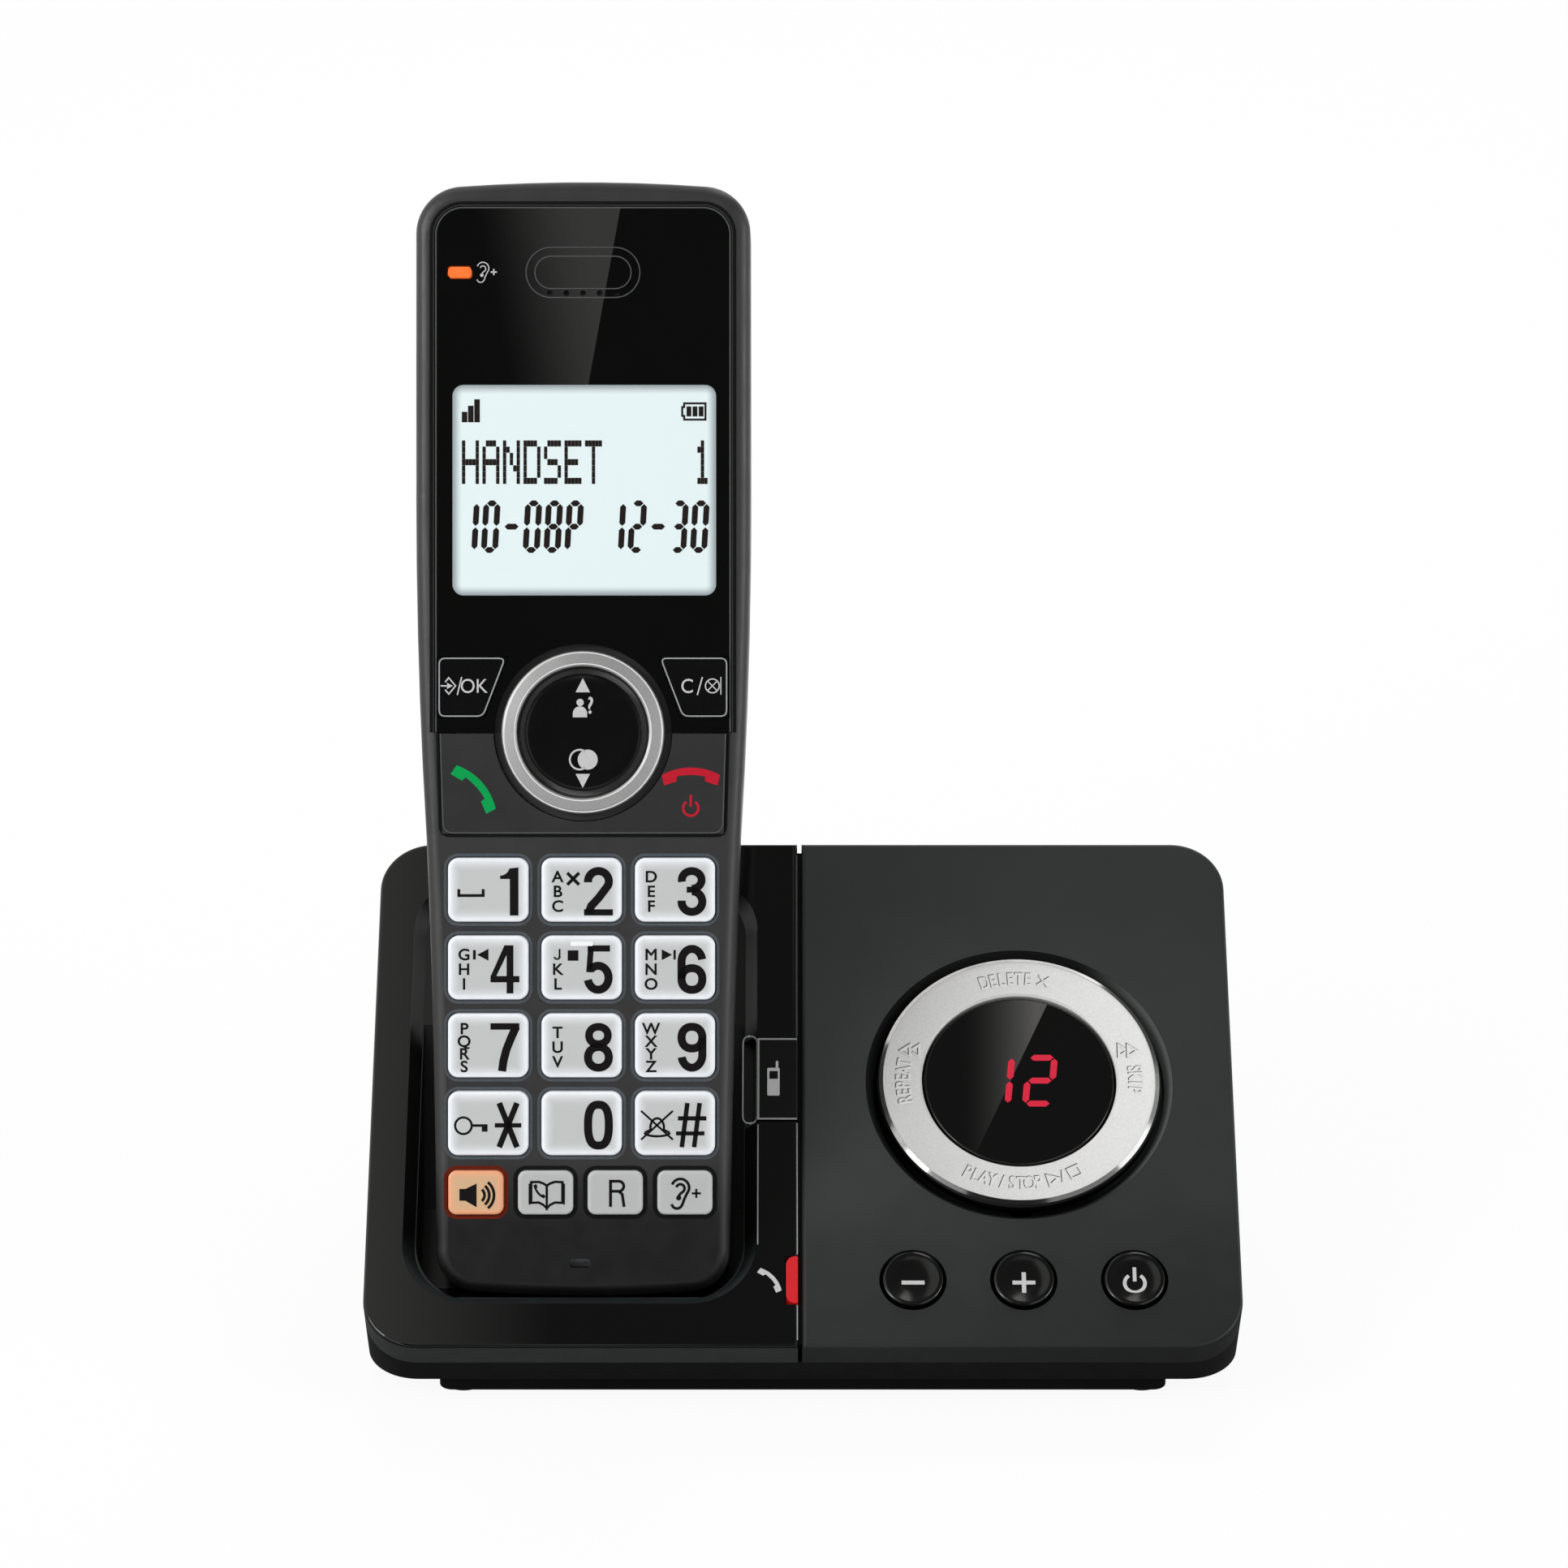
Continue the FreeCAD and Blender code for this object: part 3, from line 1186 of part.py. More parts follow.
def make_rear_case():
    outer = handset_feature("RearOuter", rear_form(0))
    room = handset_feature("RearRoom", rear_form(size("case_wall")))
    shell = cut("RearShell", outer, [room])
    inner = [span("BayWalls", HANDSET, f"-{BAY_WIDTH} / 2 - bay_wall", f"{BAY_WIDTH} / 2 + bay_wall",
                  "bay_bottom - bay_wall", f"{BAY_TOP} + bay_wall", "-handset_thickness",
                  f"-{BAY_DEPTH} + bay_wall")]
    inner.append(span("DoorLedge", HANDSET, f"-{DOOR_WIDTH} / 2 - bay_wall", f"{DOOR_WIDTH} / 2 + bay_wall",
                      f"{DOOR_BOTTOM} - bay_wall", f"{DOOR_TOP} + bay_wall", "-handset_thickness",
                      "-handset_thickness + 2 * door_thickness"))
    for tag, (x, y) in CASE_SCREWS.items():
        inner.append(disc("RearPost" + tag, HANDSET, x, y, "-handset_thickness", "-split_depth",
                          "post_radius"))
    inside = common("RearInside", [join("RearInner", inner), outer])
    solid = join("RearSolid", [shell, inside])
    outside = "-handset_thickness - cut_over"
    holes = [
        span("Bay", HANDSET, f"-{BAY_WIDTH} / 2", f"{BAY_WIDTH} / 2", "bay_bottom", BAY_TOP, outside,
             "-" + BAY_DEPTH),
        door_form("DoorRecess", "key_gap", outside),
    ]
    for tag, (x, y) in CASE_SCREWS.items():
        holes.append(disc("HeadBore" + tag, HANDSET, x, y, outside, "-split_depth - screw_web",
                          "screw_head_radius + screw_gap"))
        holes.append(disc("ShankHole" + tag, HANDSET, x, y, "-handset_thickness", "-split_depth + cut_over",
                          "screw_radius + screw_gap"))
    for i in range(-2, 3):
        holes.append(block(f"RingerSlot{i + 2}", HANDSET, "0", f"{RINGER_Y} + {i} * slot_pitch", outside,
                           "slot_length", "slot_width", "handset_thickness - head_thickness + case_wall",
                           "slot_width * 0.45"))
    for side, sign in (("Left", "-"), ("Right", "")):
        holes.append(charging_block(f"PhoneContactSlot{side}", f"{sign}contact_spacing / 2", "0",
                                    "-cut_over", "case_wall + contact_inside + cut_over"))
    return keep("handset_rear_case", cut("RearCase", solid, holes))


def make_case_screws():
    screws = [screw("CaseScrew" + tag, HANDSET, x, y, "(-split_depth - screw_web)",
                    "(screw_web + screw_reach)") for tag, (x, y) in CASE_SCREWS.items()]
    return keep("handset_screws", group("CaseScrews", screws))


def end_contact(name, x, low, high):
    """A flat contact across the end of one cell."""
    half = "spring_radius * 1.4"
    return span(name, HANDSET, f"{x} - {half}", f"{x} + {half}", low, high, f"-{CELL_DEPTH} - {half}",
                f"-{CELL_DEPTH} + {half}")


def make_battery():
    """Door, two cells side by side, and the contacts at their ends."""
    keep("battery_door", door_form("BatteryDoor", "0", "-handset_thickness"))
    along = "rotation(vector(1; 0; 0); -90)"
    cells = []
    contacts = []
    for tag, sign in (("Left", "-"), ("Right", "")):
        x = f"{sign}{CELL_SPACING} / 2"
        cell = make_body("Cell" + tag, HANDSET, x, CELL_BOTTOM, "-" + CELL_DEPTH, along)
        sketch = add_sketch(cell, "XZ_Plane")
        shoulder = "cell_length - cell_tip"
        draw_polygon(sketch, [("0", "0"), ("cell_radius", "0"), ("cell_radius", shoulder),
                              ("cell_radius / 2", shoulder), ("cell_radius / 2", "cell_length"),
                              ("0", "cell_length")])
        revolve(cell, sketch)
        cells.append(cell)
        spring = make_body("Spring" + tag, HANDSET, x, "bay_bottom + contact_thickness / 2",
                           "-" + CELL_DEPTH, along)
        coil = add_sketch(spring)
        draw_circle(coil, "spring_radius")
        draw_circle(coil, "spring_radius * 0.7")
        pad(spring, coil, "spring_length - contact_thickness / 2")
        leaf = end_contact("Leaf" + tag, x, "bay_bottom", "bay_bottom + contact_thickness")
        contacts.append(join("SpringContact" + tag, [spring, leaf]))
        contacts.append(end_contact("FlatContact" + tag, x, f"{CELL_BOTTOM} + cell_length", BAY_TOP))
    keep("battery_cells", group("Cells", cells))
    keep("battery_contacts", group("BatteryContacts", contacts))


# ---------- handset: lens, display, keys ----------

def make_lens():
    blank = lens_form("LensBlank", "0", LENS_LOW, "-lens_inset")
    groove = cut("EarGroove", stadium("EarOuter", "earpiece_width", "earpiece_tall",
                                      "-lens_inset - earpiece_groove_depth", "cut_over"),
                 [stadium("EarInner", "earpiece_width - 2 * earpiece_groove",
                          "earpiece_tall - 2 * earpiece_groove", "-lens_inset - 2 * earpiece_groove_depth",
                          "2 * cut_over")])
    holes = [groove, disc("LensNavCut", HANDSET, "0", NAV_Y, "-face_wall", "cut_over", "nav_recess"),
             light_form("LensLightHole", "key_gap", "-face_wall", "cut_over")]
    holes += sound_holes("LensSoundHole", "-face_wall", "cut_over")
    for node, side in SOFT_KEYS.items():
        holes.append(soft_key_form("LensHole" + node, side, "key_gap", "-face_wall", "cut_over"))
    return keep("display_lens", cut("Lens", blank, holes))


def make_handset_keys():
    for node, side in SOFT_KEYS.items():
        keep(node, soft_key_form(node, side, "0", "-cap_bottom", "soft_rise"))
    for node, x, y, kind in cap_places():
        keep(node, cap_form(node, x, y, kind, "0", "-cap_bottom", "cap_rise", "cap_rim"))
    top = talk_plate_form("TalkPlate", "0", "plate_rise - plate_thickness", "plate_rise")
    pivot = block("TalkPivot", HANDSET, "0", f"{PLATE_BOTTOM} + plate_pivot * 0.6",
                  f"{MEMBRANE_TOP} + pivot_gap", "plate_pivot", "plate_pivot",
                  f"-plate_rise - ({MEMBRANE_TOP} + pivot_gap)")
    keep("talk_end_key", join("TalkEndKey", [top, pivot]))
    trim = turned("NavTrim", HANDSET, "0", NAV_Y, [
        ("trim_inner", "-nav_recess_depth"), ("trim_outer", "-nav_recess_depth"),
        ("trim_outer", "trim_rise / 3"), ("trim_outer - trim_rise / 3", "trim_rise * 0.8"),
        ("(trim_inner + trim_outer) / 2", "trim_rise"), ("trim_inner + trim_rise / 4", "trim_rise * 0.8"),
        ("trim_inner", "trim_rise / 2")])
    keep("navigation_ring_trim", trim)
    key = turned("NavKey", HANDSET, "0", NAV_Y, [
        ("0", f"{MEMBRANE_TOP} + pivot_gap"), ("nav_radius / 6", f"{MEMBRANE_TOP} + pivot_gap"),
        ("nav_radius / 6", "-cap_bottom"),
        ("nav_radius", "-cap_bottom"), ("nav_radius", "nav_rise / 2"), ("nav_radius * 0.93", "nav_rise"),
        ("nav_radius / 2", "nav_rise * 0.8"), ("0", "nav_rise * 0.7")])
    keep("navigation_key", key)


def make_handset_inside():
    keep("lcd_module", block("DisplayModule", HANDSET, "display_x", DISPLAY_Y, "-phone_board_depth",
                             "display_width", DISPLAY_TALL, "phone_board_depth - display_top"))
    gaps = [disc("BoardGap" + tag, HANDSET, x, y, "-split_depth", "0", "case_boss_radius + key_gap")
            for tag, (x, y) in CASE_SCREWS.items()]
    board = span("PhoneBoardBlank", HANDSET, "-phone_board_width / 2", "phone_board_width / 2",
                 "phone_board_bottom", "handset_length - phone_board_margin",
                 "-phone_board_depth - phone_board_thickness",
                 "-phone_board_depth", "foot_corner")
    keep("handset_circuit_board", cut("PhoneBoard", board, gaps))
    keep("keypad_membrane", span("Membrane", HANDSET, "-membrane_width / 2", "membrane_width / 2",
                                 f"{FUNCTION_Y} - membrane_low", f"{NAV_Y} + membrane_high",
                                 "-phone_board_depth", MEMBRANE_TOP))
    keep("earpiece_speaker", disc("Receiver", HANDSET, "0", EARPIECE_Y, "-phone_board_depth",
                                  "-face_wall - key_gap", "receiver_radius"))
    board_back = "(-phone_board_depth - phone_board_thickness)"
    keep("handset_loudspeaker", disc("Ringer", HANDSET, "0", RINGER_Y, f"{board_back} - ringer_height",
                                     board_back, "ringer_radius"))
    keep("microphone", disc("Microphone", HANDSET, "mic_x", "mic_y", "-phone_board_depth",
                            "-face_wall - key_gap", "mic_radius"))
    keep("boost_light", light_form("BoostLight", "0", "-phone_board_depth", "boost_light_rise"))


make_bottom_housing()
make_feet()
make_base_screws()
make_cradle_cover()
make_control_panel()
make_ring_key()
make_number_window()
for button_node, button_place in PANEL_BUTTONS.items():
    make_round_button(button_node, button_place)
make_find_key()
make_in_use_light()
make_base_board()
make_switches()
make_base_speaker()
make_sockets()
make_front_case()
make_rear_case()
make_case_screws()
make_battery()
make_charging_contacts()
make_lens()
make_handset_keys()
make_handset_inside()
doc.recompute()

# Every object must be sound, and every piece a valid solid, before any file is written.
for item in doc.Objects:
    if "Invalid" in item.State or "Error" in item.State:
        raise RuntimeError(f"{item.Label}: {item.State}")
for node, item in nodes.items():
    if item.Shape.isNull() or not item.Shape.isValid() or not item.Shape.Solids:
        raise RuntimeError(f"{node} is not a valid solid")

os.makedirs("parts", exist_ok=True)
for node, item in nodes.items():
    item.Shape.exportStep(f"parts/{node}.step")
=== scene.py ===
import math

import bmesh
import bpy
from mathutils import Matrix, Vector


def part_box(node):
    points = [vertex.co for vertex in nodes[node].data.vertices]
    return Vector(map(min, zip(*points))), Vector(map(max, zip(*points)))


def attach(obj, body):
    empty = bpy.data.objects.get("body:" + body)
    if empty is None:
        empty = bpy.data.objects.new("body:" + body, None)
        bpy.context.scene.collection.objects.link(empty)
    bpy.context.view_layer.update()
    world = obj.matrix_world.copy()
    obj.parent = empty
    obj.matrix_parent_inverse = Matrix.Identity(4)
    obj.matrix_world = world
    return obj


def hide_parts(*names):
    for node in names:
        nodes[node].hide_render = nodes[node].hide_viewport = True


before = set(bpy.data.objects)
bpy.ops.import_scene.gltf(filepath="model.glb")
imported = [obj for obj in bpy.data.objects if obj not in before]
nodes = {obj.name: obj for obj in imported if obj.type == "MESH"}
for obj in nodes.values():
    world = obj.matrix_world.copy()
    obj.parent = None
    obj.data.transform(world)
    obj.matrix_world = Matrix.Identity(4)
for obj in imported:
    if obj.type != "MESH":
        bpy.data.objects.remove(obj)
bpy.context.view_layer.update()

# Looks of the answering machine. Lengths are millimetres, and metres from the floor on.
MM = 0.001
scene = bpy.context.scene

# ---------- frames and places on the object ----------

FACE_SLOPE = math.radians(33)
HANDSET_LEAN = math.radians(65)
BASE_FRONT_Y = -46.41
FRONT_EDGE_HEIGHT = 12.4
HANDSET_X = -32.5
SEAT_DISTANCE = 8.35

FACE = Matrix.Translation((0, BASE_FRONT_Y, FRONT_EDGE_HEIGHT)) @ Matrix.Rotation(FACE_SLOPE, 4, "X")
HANDSET = FACE @ Matrix.Translation((HANDSET_X, SEAT_DISTANCE, 0)) @ Matrix.Rotation(
    HANDSET_LEAN - FACE_SLOPE, 4, "X")


class Measured:
    """Where a CAD node lies along the axes of a frame."""

    def __init__(self, node, place):
        back = place.inverted()
        points = [back @ (vertex.co / MM) for vertex in nodes[node].data.vertices]
        self.low, self.high = (Vector([end(point[axis] for point in points) for axis in range(3)])
                               for end in (min, max))
        self.middle = (self.low + self.high) / 2
        self.size = self.high - self.low


key_0 = Measured("key_0", HANDSET)
DIAL_X, DIAL_Y = key_0.middle.xy
DIAL_PITCH = (Measured("key_hash", HANDSET).middle.x - DIAL_X, Measured("key_8", HANDSET).middle.y - DIAL_Y)
DIAL_CAP_SIZE = key_0.size.xy
CAP_RISE = key_0.high.z
speaker_key = Measured("speaker_key", HANDSET)
boost_key = Measured("boost_key", HANDSET)
FUNCTION_X = (speaker_key.middle.x + boost_key.middle.x) / 2
FUNCTION_Y = speaker_key.middle.y
FUNCTION_PITCH = (boost_key.middle.x - speaker_key.middle.x) / 3
FUNCTION_CAP_SIZE = speaker_key.size.xy
navigation_trim = Measured("navigation_ring_trim", HANDSET)
NAV_Y = navigation_trim.middle.y
NAV_RIM = navigation_trim.high.x
NAV_RISE = navigation_trim.high.z
lens = Measured("display_lens", HANDSET)
LENS_TOP = lens.high.z

button = Measured("volume_up_button", FACE)
RING_X, BUTTON_Y = button.middle.xy
BUTTON_RISE = button.high.z
BUTTON_PITCH = Measured("answer_on_off_button", FACE).middle.x - RING_X
ring_key = Measured("ring_key", FACE)
RING_Y = ring_key.middle.y
RING_TOP = ring_key.high.z
find_key = Measured("find_handset_key", FACE)


def in_metres(matrix):
    return Matrix.Scale(MM, 4) @ matrix


# ---------- flat outlines ----------

def arc(x, y, rx, ry, start, end, steps=24):
    """Points on an ellipse between two angles in degrees."""
    turns = [math.radians(start + (end - start) * i / steps) for i in range(steps + 1)]
    return [(x + rx * math.cos(turn), y + ry * math.sin(turn)) for turn in turns]


def circle(x, y, radius, steps=48):
    return arc(x, y, radius, radius, 0, 360, steps)[:-1]


def superellipse(x, y, rx, ry, power, steps=48):
    def bent(value):
        return math.copysign(abs(value) ** (2 / power), value)

    return [(x + rx * bent(cos), y + ry * bent(sin)) for cos, sin in circle(0, 0, 1, steps)]


def box(left, bottom, right, top):
    return [(left, bottom), (right, bottom), (right, top), (left, top)]


def rounded_box(left, bottom, right, top, radius, steps=8):
    corners = ((right - radius, top - radius, 0), (left + radius, top - radius, 90),
               (left + radius, bottom + radius, 180), (right - radius, bottom + radius, 270))
    points = []
    for x, y, start in corners:
        points += arc(x, y, radius, radius, start, start + 90, steps)
    return points


def triangle(tip, base_x, half):
    x, y = tip
    return [(x, y), (base_x, y + half), (base_x, y - half)]


def offsets(points, closed):
    """The outward normal at each point, long enough to keep the width at a bend."""
    count = len(points)
    result = []
    for i in range(count):
        sides = []
        for j, k in ((i - 1, i), (i, i + 1)):
            if closed or (j >= 0 and k < count):
                ax, ay = points[j % count]
                bx, by = points[k % count]
                length = math.hypot(bx - ax, by - ay) or 1
                sides.append(Vector(((by - ay) / length, (ax - bx) / length)))
        normal = sum(sides, Vector((0, 0))).normalized()
        reach = 1 / max(0.45, normal.dot(sides[0]))
        result.append(normal * reach)
    return result


def stroke(points, width, closed=False):
    """The outline of a line of even width: one loop, or two for a closed line."""
    normals = offsets(points, closed)
    half = width / 2
    outer = [(x + n.x * half, y + n.y * half) for (x, y), n in zip(points, normals)]
    inner = [(x - n.x * half, y - n.y * half) for (x, y), n in zip(points, normals)]
    return [outer, inner] if closed else [outer + inner[::-1]]


def ring(x, y, radius, width):
    return [circle(x, y, radius + width / 2), circle(x, y, radius - width / 2)]


def crossed(size, width):
    a = size / 2
    return [stroke([(-a, -a), (a, a)], width), stroke([(-a, a), (a, -a)], width)]


def softened(points, radius, steps=5):
    """A closed outline with its corners rounded off."""
    result = []
    for i, point in enumerate(points):
        corner = Vector(point)
        ends = []
        for other in (points[i - 1], points[(i + 1) % len(points)]):
            way = Vector(other) - corner
            ends.append(corner + way.normalized() * min(radius, way.length / 2))
        for share in [step / steps for step in range(steps + 1)]:
            result.append(tuple(ends[0].lerp(corner, share).lerp(corner.lerp(ends[1], share), share)))
    return result


def moved(loops, x=0.0, y=0.0, scale=1.0, turn=0.0):
    cos = math.cos(math.radians(turn)) * scale
    sin = math.sin(math.radians(turn)) * scale
    return [[(x + px * cos - py * sin, y + px * sin + py * cos) for px, py in loop] for loop in loops]


# ---------- pieces from outlines ----------

INK_THICK = 0.03
LINE_THICK = 0.04
INK_LIFT = 0.01
PRINT_LIFT = 0.02


def mesh_of(data):
    """The mesh of a curve or text, by way of a passing object."""
    holder = bpy.data.objects.new("holder", data)
    scene.collection.objects.link(holder)
    bpy.context.view_layer.update()
    evaluated = holder.evaluated_get(bpy.context.evaluated_depsgraph_get())
    mesh = bpy.data.meshes.new_from_object(evaluated)
    bpy.data.objects.remove(holder)
    return mesh


def outline_mesh(loops, thickness):
    curve = bpy.data.curves.new("outline", "CURVE")
    curve.dimensions = "2D"
    curve.fill_mode = "BOTH"
    curve.extrude = thickness / 2
    for loop in loops:
        spline = curve.splines.new("POLY")
        spline.points.add(len(loop) - 1)
        for point, (x, y) in zip(spline.points, loop):
            point.co = (x, y, 0, 1)
        spline.use_cyclic_u = True
    return mesh_of(curve)


CAPITAL_SHARE = 0.69


def text_mesh(thickness, words, x, y, height, narrow=1.0, bold=0.0, turn=0.0):
    """Words about a point; height is that of a capital, bold what each side of a line gains."""
    text = bpy.data.curves.new("words", "FONT")
    text.body = words
    text.size = height / CAPITAL_SHARE
    text.align_x = "CENTER"
    text.bevel_depth = bold
    text.bevel_resolution = 0
    text.extrude = thickness / 2
    mesh = mesh_of(text)
    sized = Matrix.Diagonal((narrow, 1, thickness / (thickness + 2 * bold), 1))
    turned = Matrix.Translation((x, y, 0)) @ Matrix.Rotation(math.radians(turn), 4, "Z")
    mesh.transform(turned @ sized @ Matrix.Translation((0, -height / 2, 0)))
    return mesh


def lathe(profile, closed=False, steps=96):
    """A mesh turned round Z from (radius, height) pairs that run outwards over the top."""
    build = bmesh.new()
    circles = []
    for radius, height in profile:
        points = circle(0, 0, radius, steps) if radius else [(0, 0)]
        circles.append([build.verts.new((x, y, height)) for x, y in points])
    pairs = list(zip(circles, circles[1:]))
    if closed:
        pairs.append((circles[-1], circles[0]))
    for first, second in pairs:
        for i in range(steps):
            j = (i + 1) % steps
            corners = [first[i % len(first)], second[i % len(second)],
                       second[j % len(second)], first[j % len(first)]]
            build.faces.new(list(dict.fromkeys(corners)))
    mesh = bpy.data.meshes.new("lathe")
    build.to_mesh(mesh)
    build.free()
    return mesh


def add_piece(name, mesh, material, body, smooth=None):
    piece = bpy.data.objects.new(name, mesh)
    scene.collection.objects.link(piece)
    mesh.materials.clear()
    mesh.materials.append(material)
    if smooth is not None:
        for polygon in mesh.polygons:
            polygon.use_smooth = True
        mesh.set_sharp_from_angle(angle=math.radians(smooth))
    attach(piece, body)
    return piece


def add_turned(name, profile, place, x, y, material, body, node, closed=False):
    """A smooth turned piece that stands for a CAD node."""
    mesh = lathe(profile, closed)
    mesh.transform(in_metres(place @ Matrix.Translation((x, y, 0))))
    piece = add_piece(name, mesh, material, body, 30)
    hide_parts(node)


def marks(name, body, material, lift, parts, x=0.0, y=0.0, scale=1.0, turn=0.0, words=(),
          thickness=INK_THICK, place=HANDSET, slot=None):
    """One piece of flat marks, printed, moulded, or painted light and shade: parts are lists of loops, words
    are what text_mesh takes.
    """
    build = bmesh.new()
    for loops in parts:
        build.from_mesh(outline_mesh(moved(loops, x, y, scale, turn), thickness))
    for line in words:
        build.from_mesh(text_mesh(thickness, *line))
    mesh = bpy.data.meshes.new("marks")
    build.to_mesh(mesh)
    build.free()
    mesh.transform(in_metres(place @ Matrix.Translation((0, 0, lift))))
    add_piece(name, mesh, material, body)


# ---------- materials ----------

def linear(code):
    """Scene colour of a written web colour."""
    values = [int(code[i:i + 2], 16) / 255 for i in (0, 2, 4)]
    return [v / 12.92 if v <= 0.04045 else ((v + 0.055) / 1.055) ** 2.4 for v in values] + [1.0]


def put(socket, value):
    """Gives an input a number, a written web colour or another node's output."""
    if isinstance(value, bpy.types.NodeSocket):
        socket.id_data.links.new(value, socket)
    else:
        socket.default_value = linear(value) if isinstance(value, str) else value


def feed(node, **inputs):
    """Sets inputs of a node; an underscore in a name stands for a blank."""
    for name, value in inputs.items():
        put(node.inputs[name.replace("_", " ")], value)


def add_node(tree, kind, **settings):
    node = tree.nodes.new(kind)
    for key, value in settings.items():
        if key in node.inputs:
            put(node.inputs[key], value)
        else:
            setattr(node, key, value)
    return node


def new_material(name):
    material = bpy.data.materials.new(name)
    material.use_nodes = True
    return material, material.node_tree, material.node_tree.nodes["Principled BSDF"]


def own_place(tree):
    """A point's place on the object itself, which doesn't change when its piece moves."""
    return add_node(tree, "ShaderNodeTexCoord").outputs["Object"]


def noise(tree, per_mm, detail=2.0):
    """Noise over the object's own surface with about per_mm grains to a millimetre."""
    grain = add_node(tree, "ShaderNodeTexNoise", Scale=per_mm / MM, Detail=detail, Roughness=0.55,
                     Vector=own_place(tree))
    return grain.outputs["Fac"]


def spread(tree, value, low, high, from_low=0.3, from_high=0.7, kind="LINEAR"):
    change = add_node(tree, "ShaderNodeMapRange", interpolation_type=kind)
    feed(change, Value=value, From_Min=from_low, From_Max=from_high, To_Min=low, To_Max=high)
    return change.outputs["Result"]


def calc(tree, operation, *values):
    """One step of arithmetic on sockets and numbers."""
    step = add_node(tree, "ShaderNodeMath", operation=operation)
    for socket, value in zip(step.inputs, values):
        put(socket, value)
    return step.outputs[0]


def local(tree, place, axis, centre=0.0):
    """Millimetres along one axis of a frame on the object, from a centre on that axis."""
    way = place.col[axis].xyz
    dot = add_node(tree, "ShaderNodeVectorMath", operation="DOT_PRODUCT")
    put(dot.inputs[0], own_place(tree))
    put(dot.inputs[1], way / MM)
    return calc(tree, "SUBTRACT", dot.outputs["Value"], place.col[3].xyz.dot(way) + centre)


def inner_distance(tree, x, y, wide, tall, corner):
    """Millimetres inward from the side of a rounded rectangle about x = y = 0."""
    over_x = calc(tree, "SUBTRACT", calc(tree, "ABSOLUTE", x), wide / 2 - corner)
    over_y = calc(tree, "SUBTRACT", calc(tree, "ABSOLUTE", y), tall / 2 - corner)
    out_x = calc(tree, "MAXIMUM", over_x, 0.0)
    out_y = calc(tree, "MAXIMUM", over_y, 0.0)
    squares = calc(tree, "ADD", calc(tree, "MULTIPLY", out_x, out_x), calc(tree, "MULTIPLY", out_y, out_y))
    inside = calc(tree, "MINIMUM", calc(tree, "MAXIMUM", over_x, over_y), 0.0)
    return calc(tree, "SUBTRACT", corner, calc(tree, "ADD", calc(tree, "SQRT", squares), inside))


def below(tree, value, limit, mask):
    """The mask where value < limit, else 0."""
    return calc(tree, "MULTIPLY", calc(tree, "LESS_THAN", value, limit), mask)


def add_bump(tree, shader, height, strength, distance):
    bump = add_node(tree, "ShaderNodeBump", Strength=strength, Distance=distance * MM, Height=height)
    feed(shader, Normal=bump.outputs["Normal"])


def mixed(tree, first, second, mask, kind="MIX"):
    """A blend of two colours, each a written web colour or a socket."""
    mix = add_node(tree, "ShaderNodeMix", data_type="RGBA", blend_type=kind, Factor=mask)
    ports = [socket for socket in mix.inputs if socket.type == "RGBA"]
    put(ports[0], first)
    put(ports[1], second)
    return [socket for socket in mix.outputs if socket.type == "RGBA"][0]


def painted_shade(tree, colour, place, axis, stops):
    """Painted shade: the colour deepened along one axis of a frame, where stops are (millimetres, share of
    the colour).
    """
    start, end = stops[0][0], stops[-1][0]
    along = spread(tree, local(tree, place, axis), 0.0, 1.0, start, end)
    ramp = add_node(tree, "ShaderNodeValToRGB", Fac=along)
    steps = ramp.color_ramp.elements
    while len(steps) < len(stops):
        steps.new(0.5)
    for step, (distance, share) in zip(steps, stops):
        step.position = (distance - start) / (end - start)
        step.color = (share, share, share, 1)
    return mixed(tree, colour, ramp.outputs["Color"], 1.0, "MULTIPLY")


def plastic(name, dark, light, rough, grain=4.0, texture=0.15, depth=0.02, gloss=0.5, shade_ramps=()):
    """Moulded plastic: a fine eroded texture, a slow random change of colour and uneven polish, with painted
    shade from any shade ramps passed in.
    """
    material, tree, shader = new_material(name)
    colour = mixed(tree, dark, light, noise(tree, 0.06))
    for shade_ramp in shade_ramps:
        colour = painted_shade(tree, colour, *shade_ramp)
    polish = spread(tree, noise(tree, 0.25, 4.0), *rough)
    feed(shader, Base_Color=colour, Roughness=polish, Specular_IOR_Level=gloss)
    add_bump(tree, shader, noise(tree, grain), texture, depth)
    return material


def metal(name, dark, light, rough, grain, texture, depth, share=1.0, shade_ramps=()):
    """Metal, or with a lesser share silver paint: speckled, with uneven polish, and with painted shade from
    any shade ramps passed in.
    """
    material, tree, shader = new_material(name)
    speckle = noise(tree, grain)
    colour = mixed(tree, dark, light, speckle)
    for shade_ramp in shade_ramps:
        colour = painted_shade(tree, colour, *shade_ramp)
    feed(shader, Base_Color=colour, Metallic=share, Roughness=spread(tree, noise(tree, 0.3, 3.0), *rough))
    add_bump(tree, shader, speckle, texture, depth)
    return material


def lit(name, dark, light, glow, strength):
    """A lit mark: its own colour with a little unevenness, plus light of its own."""
    material, tree, shader = new_material(name)
    feed(shader, Base_Color=mixed(tree, dark, light, noise(tree, 1.2)), Roughness=0.3, Emission_Color=glow,
         Emission_Strength=strength)
    return material


def ink(name, dark, light, rough=0.5):
    material, tree, shader = new_material(name)
    polish = spread(tree, noise(tree, 3.0), rough - 0.08, rough + 0.08)
    feed(shader, Base_Color=mixed(tree, dark, light, noise(tree, 2.0)), Roughness=polish,
         Specular_IOR_Level=0.1)
    return material


